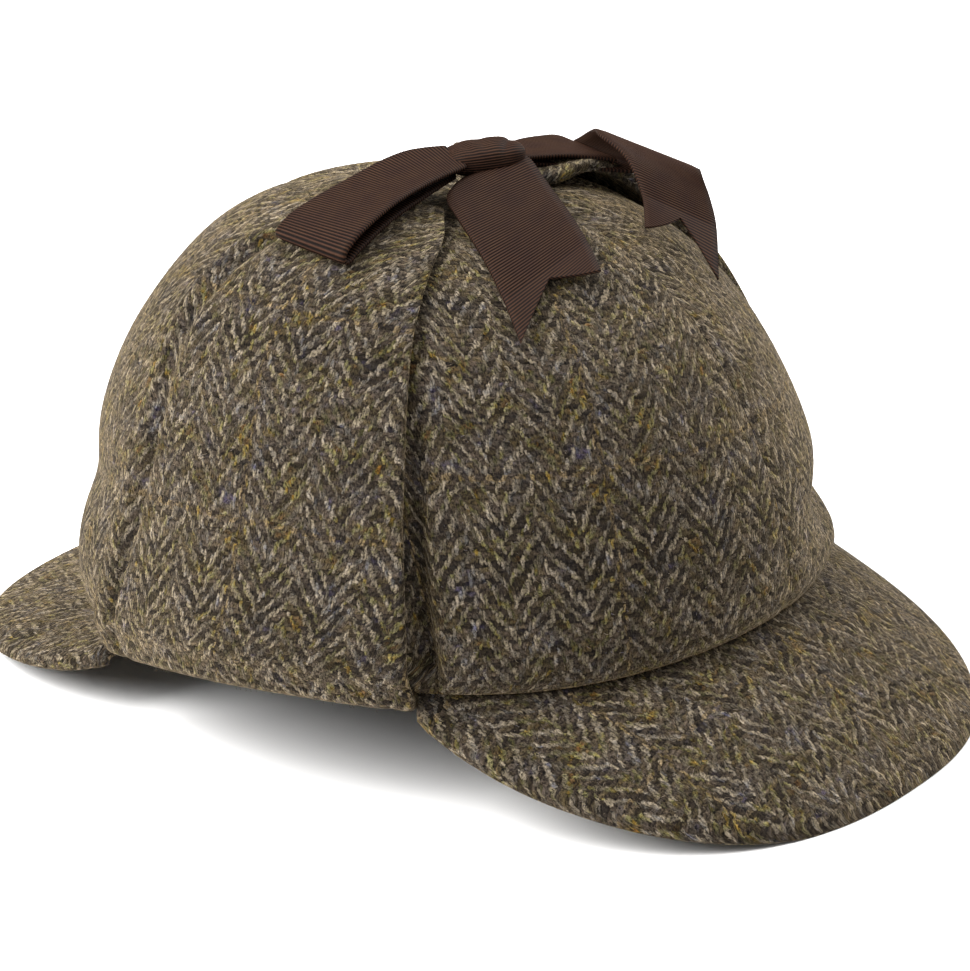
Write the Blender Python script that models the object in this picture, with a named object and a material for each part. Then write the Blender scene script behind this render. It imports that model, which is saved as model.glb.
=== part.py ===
"""A deerstalker hat at rest, its ear flaps folded up and tied over the crown with a ribbon bow.

Metres, +Z up. The front faces -Y and the wearer's right is -X. Angles round the rim run from the
wearer's right (0) through the front (90), in degrees.
"""

import math

import bpy
import numpy as np

# The rim of the crown seen from above, and how high it rides above the table.
RIM_HALF_WIDTH = 0.0900
RIM_HALF_LENGTH = 0.1035
RIM_HEIGHT = 0.0270
RIM_FRONT_RISE = 0.0120
RIM_ENDS_DROP = 0.0050
RIM_TURN = 0.0016
RIM_CORNER = 0.0010

# The crown: a dome between the rim and its top, leaning back a little. The gores meet off its
# centre; the meeting point is given as seen from above before the lean.
CROWN_TOP = 0.1355
CROWN_LEAN = 0.0056
SIDE_POWER = 3.38
TOP_POWER = 1.89
MEETING_POINT = np.array([0.0105, -0.0131])
CLOTH = 0.0025
# The crown puffs out above the rim, where its seam draws it in.
CROWN_PUFF = 0.0030
RIM_TUCK = 0.0046
TUCK_HEIGHT = 0.0050
SEAM_GAP = 0.00015
TOP_HOLE = 0.012
PANEL_ROWS = 15
PANEL_COLUMNS = 7

# The peaks.
REACH = 0.1466
PEAK_INSET = 0.0035
PEAK_CLOTH = 0.0034
PEAK_BULGE = 0.0024
PEAK_EDGE_TOP = 0.0024
PEAK_CLEARANCE = 0.0004
PEAK_CORNER_DROP = 0.0045
PEAK_STEEPEST = 0.6
PEAK_EDGE_LIFT = 0.0005
PEAK_COLUMNS = 33
# The peaks' turned edge, which is fuller underneath, so that it rests on a flat strip.
PEAK_EDGE = (
    # in_from_edge, off_the_top, off_the_underside
    (0.0, 0.0010, 0.0010),
    (0.0007, 0.0003, 0.0002),
    (0.0018, 0.0, -0.0005),
    (0.0034, 0.0, -0.0012),
)
PEAK_STEPS = (0.12, 0.3, 0.5, 0.75, 1.0)

# The ear flaps. Their thickness, and the fold below the rim: distance outwards from the rim and
# height above it, for the outer and the inner face.
FLAP_CLOTH = 0.0032
FLAP_FOLD = (
    # outer_out, outer_up, inner_out, inner_up
    (-0.0024, -0.0038, -0.0024, -0.0005),
    (0.0006, -0.0045, -0.0004, -0.0005),
    (0.0036, -0.0036, 0.0010, -0.0003),
    (0.0056, -0.0014, 0.0022, 0.0008),
)
FLAP_ROWS = (
    # up the crown (mm), rim angle of the front edge, of the rear edge, stand-off of the front edge,
    # of the middle and of the rear edge (mm)
    (3.0, 27.9, -33.4, 1.6, 1.0, 1.4),
    (6.0, 28.1, -32.2, 2.0, 1.0, 1.6),
    (11.0, 28.5, -30.2, 2.4, 1.0, 1.8),
    (20.0, 29.1, -26.9, 2.6, 1.0, 1.8),
    (32.0, 29.4, -24.0, 2.6, 1.0, 1.6),
    (46.0, 29.6, -22.5, 2.2, 1.0, 1.4),
    (62.0, 29.7, -22.8, 1.6, 0.9, 1.2),
    (78.0, 29.5, -25.4, 1.2, 0.8, 1.0),
    (94.0, 29.5, -27.1, 1.0, 0.8, 0.9),
    (108.0, 30.1, -28.2, 0.8, 0.8, 0.8),
    (120.0, 30.6, -26.5, 0.8, 0.8, 0.8),
    (132.0, 28.0, -22.0, 0.8, 0.8, 0.8),
    (146.0, 18.0, -16.0, 0.8, 0.8, 0.8),
)
FLAP_COLUMNS = (0.0, 0.03, 0.12, 0.25, 0.4, 0.55, 0.7, 0.82, 0.91, 0.97, 1.0)
FLAP_EDGE_THINNING = (0.45, 0.92, 1.0)
# The flaps stop at this share of the way from the top of the crown to the rim.
FLAP_TOP_SHARE = 0.13

# The ribbon and its knot.
RIBBON = 0.0009
RIBBON_COLUMNS = 5
KNOT_CENTRE = np.array([0.0080, -0.0070, 0.1442])
KNOT_HALF = np.array([0.0112, 0.0095, 0.0047])
KNOT_TURN = -12.0
KNOT_POWER = 2.6
KNOT_GAP = 0.0003

TWEED = (0.105, 0.087, 0.062)
TWEED_LIGHT = (0.125, 0.104, 0.076)
BROWN = (0.060, 0.038, 0.028)


def cloth_material(name, colour, roughness):
    material = bpy.data.materials.new(name)
    material.use_nodes = True
    shader = material.node_tree.nodes["Principled BSDF"]
    shader.inputs["Base Color"].default_value = (*colour, 1.0)
    shader.inputs["Roughness"].default_value = roughness
    shader.inputs["Metallic"].default_value = 0.0
    return material


def mesh_object(name, points, faces, material):
    mesh = bpy.data.meshes.new(name)
    mesh.from_pydata([tuple(p) for p in points], [], faces)
    mesh.materials.append(material)
    mesh.shade_smooth()
    found = bpy.data.objects.new(name, mesh)
    bpy.context.scene.collection.objects.link(found)
    return found


def slab(name, outer, inner, material):
    """A solid between two grids of points of the same shape, its faces turned outwards."""
    if (normals_of(outer) * (outer - inner)).sum() < 0:
        outer, inner = outer[::-1], inner[::-1]
    rows, columns = outer.shape[:2]
    count = rows * columns
    points = np.concatenate([outer.reshape(-1, 3), inner.reshape(-1, 3)])
    index = np.arange(count).reshape(rows, columns)
    faces = []
    for i in range(rows - 1):
        for j in range(columns - 1):
            ring = [index[i, j], index[i, j + 1], index[i + 1, j + 1], index[i + 1, j]]
            faces.append([int(v) for v in ring])
            faces.append([int(v) + count for v in reversed(ring)])
    border = list(index[0, :]) + list(index[1:, -1])
    border += list(index[-1, -2::-1]) + list(index[-2:0:-1, 0])
    for here, after in zip(border, border[1:] + border[:1]):
        faces.append([int(v) for v in (after, here, here + count, after + count)])
    return mesh_object(name, points, faces, material)


def normals_of(grid):
    """Unit normals of a grid of points."""
    along = np.gradient(grid, axis=0)
    across = np.gradient(grid, axis=1)
    found = np.cross(across, along)
    return found / np.linalg.norm(found, axis=2, keepdims=True)


def rim_height(angle):
    """How high the rim is above the table, at an angle in radians."""
    return (
        RIM_HEIGHT
        + RIM_FRONT_RISE * math.sin(angle)
        + RIM_ENDS_DROP * math.cos(2 * angle)
        - RIM_TURN * math.sin(3 * angle)
        + RIM_CORNER * math.cos(4 * angle)
    )


def around(rim_angle):
    """The direction, seen from the point where the gores meet, of a place on the rim (degrees in)."""
    a = math.radians(rim_angle)
    x = RIM_HALF_WIDTH * math.cos(a) + MEETING_POINT[0]
    y = RIM_HALF_LENGTH * math.sin(a) + MEETING_POINT[1]
    return math.atan2(y, x)


def dome(x, y, off):
    """The rim's height and the share of the climb to the top, over one place of the plan."""
    wide = x / (RIM_HALF_WIDTH + off)
    long = y / (RIM_HALF_LENGTH + off)
    base = rim_height(math.atan2(-long, -wide))
    return base, max(0.0, 1 - math.hypot(wide, long) ** SIDE_POWER) ** (1 / TOP_POWER)


def crown_point(heading, share, off):
    """A point of the crown: `share` of the way from the meeting point to the rim, along a heading."""
    out = np.array([-math.cos(heading), -math.sin(heading)])
    half = np.array([RIM_HALF_WIDTH + off, RIM_HALF_LENGTH + off])
    start = MEETING_POINT / half
    step = out / half
    a, b, c = step @ step, start @ step, start @ start - 1
    reach = (-b + math.sqrt(b * b - a * c)) / a
    spot = MEETING_POINT + share * reach * out
    base, rise = dome(spot[0], spot[1], off)
    climb = (CROWN_TOP + off - base) * rise
    puff = CROWN_PUFF * (1 - rise * rise) - RIM_TUCK * math.exp(-climb / TUCK_HEIGHT)
    spot = spot + out * puff
    return np.array([spot[0], spot[1] + CROWN_LEAN * rise, base + climb])


def profile():
    """Shares from the rim (1) to the top (0), and how far up the crown each is."""
    turn = np.linspace(0, math.pi / 2, 721)
    shares = np.cos(turn) ** (2 / SIDE_POWER)
    heights = np.sin(turn) ** (2 / TOP_POWER)
    run = (RIM_HALF_WIDTH + RIM_HALF_LENGTH) / 2
    rise = CROWN_TOP - RIM_HEIGHT
    steps = np.hypot(np.diff(shares) * run, np.diff(heights) * rise)
    return shares, np.concatenate([[0.0], np.cumsum(steps)])


SHARES, CLIMB = profile()


def share_at(climb):
    return float(np.interp(climb, CLIMB, SHARES))


def crown_panel(name, from_angle, to_angle, material):
    """One gore, between two seams that run from the rim to the meeting point."""
    first = around(from_angle)
    last = first + (around(to_angle) - first) % (2 * math.pi)
    climbs = [0.0, 0.0025, 0.0060]
    top = float(np.interp(-TOP_HOLE, -SHARES, CLIMB))
    climbs += list(np.linspace(0.0120, top, PANEL_ROWS - len(climbs)))
    grids = []
    for off in (0.0, -CLOTH):
        grid = np.zeros((PANEL_ROWS, PANEL_COLUMNS, 3))
        for i, climb in enumerate(climbs):
            share = max(TOP_HOLE, share_at(climb))
            inset = SEAM_GAP / (share * RIM_HALF_WIDTH)
            for j, heading in enumerate(np.linspace(first + inset, last - inset, PANEL_COLUMNS)):
                grid[i, j] = crown_point(heading, share, off)
        grids.append(grid)
    return slab(name, grids[0], grids[1], material)


def peak(name, side, corner, flare, power, edge_power, material):
    """A crescent from under the rim down to the table. `side` is 1 in front and -1 at the back."""
    from_angle, to_angle = side * corner, side * (180 - corner)
    angles = np.radians(np.linspace(from_angle, to_angle, PEAK_COLUMNS))
    corner_angle = math.radians(side * corner)
    half_width = (RIM_HALF_WIDTH + flare) * math.cos(corner_angle)
    corner_reach = (RIM_HALF_LENGTH + flare) * abs(math.sin(corner_angle))
    corner_height = rim_height(corner_angle) - PEAK_CORNER_DROP
    top = []
    swell = []
    for i, angle in enumerate(angles):
        sweep = math.pi * i / (PEAK_COLUMNS - 1)
        c, s = math.cos(sweep), max(0.0, math.sin(sweep))
        inner = np.array(
            [
                -(RIM_HALF_WIDTH - PEAK_INSET) * math.cos(angle),
                -(RIM_HALF_LENGTH - PEAK_INSET) * math.sin(angle),
                rim_height(angle) - PEAK_CLEARANCE,
            ]
        )
        out = corner_reach + (REACH - corner_reach) * s ** (2 / power)
        outer = np.array(
            [
                -half_width * math.copysign(abs(c) ** (2 / power), c),
                -side * out,
                corner_height * (1 - s**edge_power) + PEAK_EDGE_TOP,
            ]
        )
        width = np.linalg.norm(outer - inner)
        insets = [row[0] for row in PEAK_EDGE]
        insets += [step * (width - insets[-1]) + insets[-1] for step in PEAK_STEPS]
        for inset in insets:
            t = inset / width
            spot = outer + (inner - outer) * t
            swell.append(PEAK_BULGE * 4 * t * (1 - t) * s)
            top.append(spot + np.array([0, 0, swell[-1]]))
    rows = len(PEAK_EDGE) + len(PEAK_STEPS)
    top = np.array(top).reshape(PEAK_COLUMNS, rows, 3)
    slope = np.abs(normals_of(top)[:, :, 2])
    under = top - np.array([0, 0, 1]) * (PEAK_CLOTH / np.maximum(slope, PEAK_STEEPEST))[:, :, None]
    for row, (_, off_top, off_under) in enumerate(PEAK_EDGE):
        top[:, row, 2] -= off_top
        under[:, row, 2] += off_under
    under[:, :, 2] = np.maximum(under[:, :, 2], 0.0)
    under[:, 0, 2] = np.maximum(under[:, 0, 2], PEAK_EDGE_LIFT)
    return slab(name, top, under, material)


def ear_flap(name, mirrored, material):
    """A flap from the fold under the side rim up to the bow. `mirrored` makes the wearer's left one."""
    table = np.array(FLAP_ROWS)
    columns = len(FLAP_COLUMNS)
    rows = len(FLAP_FOLD) + len(table)
    outer = np.zeros((rows, columns, 3))
    inner = np.zeros((rows, columns, 3))
    for j, across in enumerate(FLAP_COLUMNS):
        edge = min(j, columns - 1 - j)
        full = FLAP_EDGE_THINNING[min(edge, len(FLAP_EDGE_THINNING) - 1)]
        bow = (1 - 2 * across) ** 4
        for i, (out_a, up_a, out_b, up_b) in enumerate(FLAP_FOLD):
            angle = table[0, 2] + (table[0, 1] - table[0, 2]) * across
            heading = around(angle)
            rim = crown_point(heading, 1.0, 0.0)
            centre = (np.array([out_a, up_a]) + np.array([out_b, up_b])) / 2
            half = (np.array([out_a, up_a]) - np.array([out_b, up_b])) / 2
            for grid, sign in ((outer, 1), (inner, -1)):
                away, up = centre + sign * half * full
                grid[i, j] = rim + np.array(
                    [-math.cos(heading) * away, -math.sin(heading) * away, up]
                )
        for i, row in enumerate(table, start=len(FLAP_FOLD)):
            climb, front, rear, off_front, off_middle, off_rear = row
            heading = around(rear + (front - rear) * across)
            side = off_front if across > 0.5 else off_rear
            stand = (off_middle + (side - off_middle) * bow) / 1000
            middle = stand + FLAP_CLOTH / 2
            share = max(share_at(climb / 1000), FLAP_TOP_SHARE)
            outer[i, j] = crown_point(heading, share, middle + FLAP_CLOTH / 2 * full)
            inner[i, j] = crown_point(heading, share, middle - FLAP_CLOTH / 2 * full)
    if mirrored:
        outer = outer[:, ::-1] * np.array([-1, 1, 1])
        inner = inner[:, ::-1] * np.array([-1, 1, 1])
    return slab(name, outer, inner, material)


def spline(rows, steps):
    """A smooth run of values through the rows of a table, with steps between each two."""
    rows = np.array(rows)
    padded = np.concatenate([[2 * rows[0] - rows[1]], rows, [2 * rows[-1] - rows[-2]]])
    found = []
    for before, here, after, beyond in zip(padded, padded[1:], padded[2:], padded[3:]):
        for step in range(steps):
            t = step / steps
            found.append(
                here
                + (after - before) * t / 2
                + (2 * before - 5 * here + 4 * after - beyond) * t**2 / 2
                + (3 * here - before - 3 * after + beyond) * t**3 / 2
            )
    found.append(rows[-1])
    return np.array(found)


def ribbon(name, table, notch, steps, material):
    """A strip between two edges. `notch` cuts a V of that share of its length into its end."""
    smooth = spline(table, steps) / 1000
    places = np.arange(len(smooth))
    grid = np.zeros((len(smooth), RIBBON_COLUMNS, 3))
    for j, across in enumerate(np.linspace(0, 1, RIBBON_COLUMNS)):
        end = (len(smooth) - 1) * (1 - notch * (1 - abs(2 * across - 1)))
        for i, place in enumerate(np.linspace(0, end, len(smooth))):
            row = [np.interp(place, places, smooth[:, k]) for k in range(6)]
            grid[i, j] = np.array(row[:3]) * (1 - across) + np.array(row[3:]) * across
    up = normals_of(grid)
    return slab(name, grid + up * RIBBON / 2, grid - up * RIBBON / 2, material)


def knot(name, grow, material):
    """The band round the middle of the bow: a rounded box, `grow` larger all round."""
    rings, spokes = 12, 24
    turn = math.radians(KNOT_TURN)
    half = KNOT_HALF + grow
    points = [np.array([0.0, 0.0, half[2]])]
    for i in range(1, rings):
        polar = math.pi * i / rings
        for j in range(spokes):
            angle = 2 * math.pi * j / spokes
            way = np.array(
                [
                    math.sin(polar) * math.cos(angle),
                    math.sin(polar) * math.sin(angle),
                    math.cos(polar),
                ]
            )
            size = float((np.abs(way) ** KNOT_POWER).sum()) ** (1 / KNOT_POWER)
            points.append(half * way / size)
    points.append(np.array([0.0, 0.0, -half[2]]))
    spin = np.array(
        [[math.cos(turn), -math.sin(turn), 0], [math.sin(turn), math.cos(turn), 0], [0, 0, 1]]
    )
    points = [spin @ p + KNOT_CENTRE for p in points]
    faces = []
    for j in range(spokes):
        after = (j + 1) % spokes
        faces.append((0, 1 + j, 1 + after))
        for i in range(rings - 2):
            a, b = 1 + i * spokes + j, 1 + i * spokes + after
            faces.append((a, a + spokes, b + spokes, b))
        last = 1 + (rings - 2) * spokes
        faces.append((len(points) - 1, last + after, last + j))
    return mesh_object(name, points, faces, material)


# Each strip is a table of its two edges, from the knot outwards, in millimetres.
LOOP_RIGHT = (
    # near_x, near_y, near_z, far_x, far_y, far_z
    (2.0, -9.5, 143.8, 6.0, -1.0, 144.8),
    (-12.0, -10.7, 142.5, -6.0, 8.5, 143.6),
    (-30.4, -11.9, 141.6, -22.0, 13.8, 142.6),
    (-44.0, -11.7, 138.8, -39.0, 15.2, 140.4),
    (-50.6, -11.3, 136.6, -46.0, 15.2, 138.2),
    (-52.4, -11.1, 135.1, -47.9, 15.1, 136.7),
    (-50.6, -10.9, 133.9, -46.2, 14.8, 135.5),
    (-44.0, -10.5, 136.1, -39.5, 14.2, 137.6),
    (-30.0, -9.2, 139.2, -24.0, 12.0, 139.9),
    (-14.0, -8.0, 140.8, -8.0, 7.0, 141.2),
    (0.0, -6.5, 141.6, 4.0, 0.0, 141.8),
)
LOOP_LEFT = (
    # near_x, near_y, near_z, far_x, far_y, far_z
    (14.0, -12.5, 144.2, 11.0, -2.0, 144.8),
    (23.0, -14.0, 142.9, 25.0, 1.0, 143.2),
    (33.0, -18.2, 141.4, 38.0, 3.0, 141.3),
    (41.6, -22.4, 139.2, 49.0, 2.0, 139.2),
    (45.0, -24.2, 137.8, 53.8, 0.8, 137.5),
    (45.8, -24.6, 137.0, 54.6, 0.4, 136.5),
    (44.0, -23.4, 136.9, 52.8, 0.5, 136.0),
    (36.0, -18.6, 139.2, 42.0, 0.5, 138.9),
    (24.0, -11.8, 141.3, 25.0, -1.0, 141.4),
    (14.0, -9.0, 142.0, 13.0, -2.0, 142.0),
)
TAIL_FRONT = (
    # near_x, near_y, near_z, far_x, far_y, far_z
    (0.0, -8.0, 140.6, 13.0, -9.0, 142.2),
    (-6.0, -10.0, 140.3, 15.6, -14.5, 143.4),
    (-12.4, -13.0, 139.6, 16.2, -19.0, 143.4),
    (-18.0, -21.0, 137.6, 11.2, -27.4, 140.4),
    (-26.5, -35.0, 132.4, 3.4, -40.0, 137.0),
    (-35.0, -48.0, 125.6, -4.0, -51.5, 132.8),
    (-42.5, -58.7, 118.4, -10.4, -60.6, 128.3),
)
TAIL_LEFT = (
    # near_x, near_y, near_z, far_x, far_y, far_z
    (14.0, -12.5, 140.6, 15.0, -3.0, 140.5),
    (25.0, -19.0, 139.6, 27.0, -2.0, 139.7),
    (38.0, -27.0, 136.6, 40.0, -4.0, 137.4),
    (51.0, -32.0, 130.2, 52.0, -9.0, 133.2),
    (58.5, -37.0, 128.4, 57.0, -15.0, 134.2),
    (56.5, -45.0, 131.6, 51.5, -21.0, 139.6),
    (50.0, -51.0, 136.0, 43.0, -24.5, 144.4),
    (44.5, -53.2, 137.6, 36.0, -26.0, 146.6),
    (41.8, -57.6, 132.2, 28.8, -42.8, 143.1),
    (34.5, -64.8, 126.8, 24.0, -49.0, 136.4),
    (20.6, -75.0, 118.8, 17.8, -54.1, 130.4),
)


def main():
    for found in list(bpy.data.objects):
        bpy.data.objects.remove(found)
    tweed = cloth_material("herringbone_tweed", TWEED, 0.95)
    flap_tweed = cloth_material("herringbone_tweed_flaps", TWEED_LIGHT, 0.95)
    brown = cloth_material("brown_grosgrain", BROWN, 0.75)

    crown_panel("crown_panel_side_right", -20.0, 26.0, tweed)
    crown_panel("crown_panel_front_right", 26.0, 95.0, tweed)
    crown_panel("crown_panel_front_left", 95.0, 154.0, tweed)
    crown_panel("crown_panel_side_left", 154.0, 200.0, tweed)
    crown_panel("crown_panel_back_left", -160.0, -90.0, tweed)
    crown_panel("crown_panel_back_right", -90.0, -20.0, tweed)
    peak("front_peak", 1, 29.4, 0.0030, 2.42, 0.57, tweed)
    peak("back_peak", -1, 35.6, 0.0050, 2.23, 0.47, tweed)
    ear_flap("ear_flap_right", False, flap_tweed)
    ear_flap("ear_flap_left", True, flap_tweed)

    knot("ribbon_knot", 0.0, brown)
    strips = [
        ribbon("ribbon_loop_right", LOOP_RIGHT, 0.0, 2, brown),
        ribbon("ribbon_loop_left", LOOP_LEFT, 0.0, 2, brown),
        ribbon("ribbon_tail_front", TAIL_FRONT, 0.16, 3, brown),
        ribbon("ribbon_tail_left", TAIL_LEFT, 0.12, 2, brown),
    ]
    clearance = knot("knot_clearance", KNOT_GAP, brown)
    clearance.hide_render = True
    clearance.display_type = "WIRE"
    for strip in strips:
        cut = strip.modifiers.new("clear_of_knot", "BOOLEAN")
        cut.operation = "DIFFERENCE"
        cut.solver = "EXACT"
        cut.object = clearance


main()
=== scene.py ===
# %% [markdown]
# # A herringbone tweed deerstalker
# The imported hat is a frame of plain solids. This lesson dresses it: each solid is replaced by a
# piece of the same size that has its seams, its turned edges and its weave. The hat lies on a
# white table with its ear flaps folded up and tied over the crown in a ribbon bow.
# Everything is in metres, +Z up; the front of the hat faces -Y and the wearer's right is -X.

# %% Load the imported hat
import math

import bpy
import numpy as np
from mathutils import Matrix, Vector, noise


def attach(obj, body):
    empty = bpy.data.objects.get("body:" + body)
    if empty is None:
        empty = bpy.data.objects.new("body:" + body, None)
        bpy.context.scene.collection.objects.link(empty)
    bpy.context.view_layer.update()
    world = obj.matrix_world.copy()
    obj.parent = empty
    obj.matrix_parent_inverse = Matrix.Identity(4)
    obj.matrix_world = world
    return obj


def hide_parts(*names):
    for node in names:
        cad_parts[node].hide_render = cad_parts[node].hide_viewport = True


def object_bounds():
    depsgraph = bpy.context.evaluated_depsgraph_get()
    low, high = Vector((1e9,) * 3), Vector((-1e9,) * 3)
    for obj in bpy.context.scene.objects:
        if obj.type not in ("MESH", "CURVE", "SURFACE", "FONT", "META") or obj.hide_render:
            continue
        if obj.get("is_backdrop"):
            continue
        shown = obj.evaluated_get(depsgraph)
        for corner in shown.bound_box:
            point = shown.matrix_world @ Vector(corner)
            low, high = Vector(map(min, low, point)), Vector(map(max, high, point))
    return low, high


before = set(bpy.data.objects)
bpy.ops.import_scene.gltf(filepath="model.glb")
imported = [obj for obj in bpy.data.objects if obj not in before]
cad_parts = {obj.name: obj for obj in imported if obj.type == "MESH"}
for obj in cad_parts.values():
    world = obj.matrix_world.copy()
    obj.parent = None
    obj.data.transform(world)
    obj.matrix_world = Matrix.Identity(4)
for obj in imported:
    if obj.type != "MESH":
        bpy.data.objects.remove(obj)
cad_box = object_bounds()
print("packed nodes:", len(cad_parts))

# %% [markdown]
# ## The camera
# A product photo is taken from far away with a long lens, so that nothing looks swollen. The
# camera stands a little above the hat, off its right front corner, and is turned a few degrees
# about its own axis, as the picture is.

# %% Place the camera
VIEW_TARGET = Vector((0.0, 0.0, 0.06))
VIEW_AZIMUTH = math.radians(-50.9856)
VIEW_ELEVATION = math.radians(21.4122)
VIEW_ROLL = math.radians(-3.0)
VIEW_DISTANCE = 1.2904
# How far the middle of the picture lies right of and below the target, for one metre ahead.
VIEW_OFFSET = (0.0069255, -0.0048382)
LENS_MM = 178.26
SENSOR_MM = 36.0

toward_camera = Vector(
    (
        math.sin(VIEW_AZIMUTH) * math.cos(VIEW_ELEVATION),
        -math.cos(VIEW_AZIMUTH) * math.cos(VIEW_ELEVATION),
        math.sin(VIEW_ELEVATION),
    )
)
level_right = Vector((math.cos(VIEW_AZIMUTH), math.sin(VIEW_AZIMUTH), 0.0))
level_up = toward_camera.cross(level_right)
right = math.cos(VIEW_ROLL) * level_right + math.sin(VIEW_ROLL) * level_up
up = math.cos(VIEW_ROLL) * level_up - math.sin(VIEW_ROLL) * level_right
ahead = (-toward_camera + VIEW_OFFSET[0] * right + VIEW_OFFSET[1] * up).normalized()
right = (right - right.dot(ahead) * ahead).normalized()
up = right.cross(ahead)

camera_data = bpy.data.cameras.new("camera")
camera_data.lens = LENS_MM
camera_data.sensor_fit = "HORIZONTAL"
camera_data.sensor_width = SENSOR_MM
camera = bpy.data.objects.new("camera", camera_data)
turned = Matrix((right, up, -ahead)).transposed().to_4x4()
camera.matrix_world = Matrix.Translation(VIEW_TARGET + VIEW_DISTANCE * toward_camera) @ turned
bpy.context.scene.collection.objects.link(camera)
bpy.context.scene.camera = camera
print("camera at", [round(c, 3) for c in camera.matrix_world.translation])

# %% [markdown]
# ## Nodes and colours
# Materials and Geometry Nodes trees are both built from nodes, so one small helper adds a node,
# sets its properties and fills or links its inputs. The kinds of node that come up most often
# have helpers of their own. Colours are written as the hex numbers of a picture editor (sRGB)
# and turned into the linear values that the renderer works with. What is the same all over a
# material is set on its shader's own inputs.

# %% Turn a hex colour linear; add nodes; start a material
def linear(hex_colour):
    """An sRGB colour such as #94762c as a linear RGBA tuple."""
    found = []
    for start in (1, 3, 5):
        value = int(hex_colour[start : start + 2], 16) / 255
        found.append(value / 12.92 if value <= 0.04045 else ((value + 0.055) / 1.055) ** 2.4)
    return (*found, 1.0)


def add_node(tree, kind, settings=None, inputs=None, stops=()):
    """`stops` are the (position, hex colour) pairs of a colour ramp."""
    node = tree.nodes.new(kind)
    for key, value in (settings or {}).items():
        setattr(node, key, value)
    for key, value in (inputs or {}).items():
        if isinstance(value, bpy.types.NodeSocket):
            tree.links.new(value, node.inputs[key])
        else:
            node.inputs[key].default_value = value
    for i, (position, colour) in enumerate(stops):
        elements = node.color_ramp.elements
        element = elements[i] if i < len(elements) else elements.new(position)
        element.position = position
        element.color = linear(colour)
    return node


def work_out(tree, steps, known):
    """Adds a Math node for each step; the terms are numbers or the names of earlier results."""
    known = dict(known)
    for result, operation, *terms in steps:
        inputs = {i: known[t] if isinstance(t, str) else t for i, t in enumerate(terms)}
        node = add_node(tree, "ShaderNodeMath", {"operation": operation}, inputs)
        known[result] = node.outputs[0]
    return known


def vector_math(tree, operation, *terms):
    inputs = dict(enumerate(terms))
    return add_node(tree, "ShaderNodeVectorMath", {"operation": operation}, inputs).outputs[0]


def scaled(tree, vector, factor):
    """A vector or a colour, times a number."""
    inputs = {0: vector, "Scale": factor}
    return add_node(tree, "ShaderNodeVectorMath", {"operation": "SCALE"}, inputs).outputs[0]


def place_of(tree, *numbers):
    """A place made of its three numbers."""
    return add_node(tree, "ShaderNodeCombineXYZ", inputs=dict(enumerate(numbers))).outputs[0]


def noise_at(tree, place, scale, detail, roughness):
    """The outputs of a noise texture: one number is "Fac", three of them are "Color"."""
    inputs = {"Vector": place, "Scale": scale, "Detail": detail, "Roughness": roughness}
    return add_node(tree, "ShaderNodeTexNoise", inputs=inputs).outputs


def mixed(tree, share, under, over):
    """The colour `under`, with a share of the colour `over`."""
    inputs = {"Factor": share, "A": under, "B": over}
    return add_node(tree, "ShaderNodeMix", {"data_type": "RGBA"}, inputs).outputs["Result"]


def new_material(name, constants):
    """A material with its tree and its shader, which takes the constant values."""
    material = bpy.data.materials.new(name)
    material.use_nodes = True
    shader = material.node_tree.nodes["Principled BSDF"]
    for key, value in constants.items():
        shader.inputs[key].default_value = value
    return material, material.node_tree, shader


# %% [markdown]
# ## The weave
# Tweed is a woollen twill. Each warp yarn passes over two weft yarns and under two, one step
# further on at each neighbour, which draws slanting ribs. After nine yarns, each about a
# millimetre thick, the slant turns back, and the bands stand beside each other like the bones of
# a herring. The warp here is pale and the weft dark, so the pale floats read as short slanting
# dashes.
# The pattern is worked out from the cloth's own millimetres, which every piece carries as its UV
# map. A table of steps keeps that arithmetic readable: each row names a result, the operation
# and its terms. As a weaver does, it calls the warp's yarns ends and the weft's yarns picks.

# %% Herringbone arithmetic
YARN_MM = 1.04
PICK_MM = 1.36
BAND_YARNS = 9
# The weave repeats after four yarns, and at a turn of the slant it skips two.
WEAVE_REPEAT = 4
BAND_BREAK = 2
# A float as an oval: half its width and half its length, in the yarns that it lies beside and
# that it passes over, and how it leans with the twill. The weft stands lower than the warp.
FLOAT_HALF_WIDTH = 0.53
FLOAT_HALF_LENGTH = 1.2
FLOAT_LEAN = 0.26
WEFT_HALF_WIDTH = 0.5
WEFT_HALF_LENGTH = 1.3
WEFT_LEVEL = 0.60
# How far a warp yarn's floats slip out of step, in picks.
WARP_SLIP = 2.6

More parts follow.
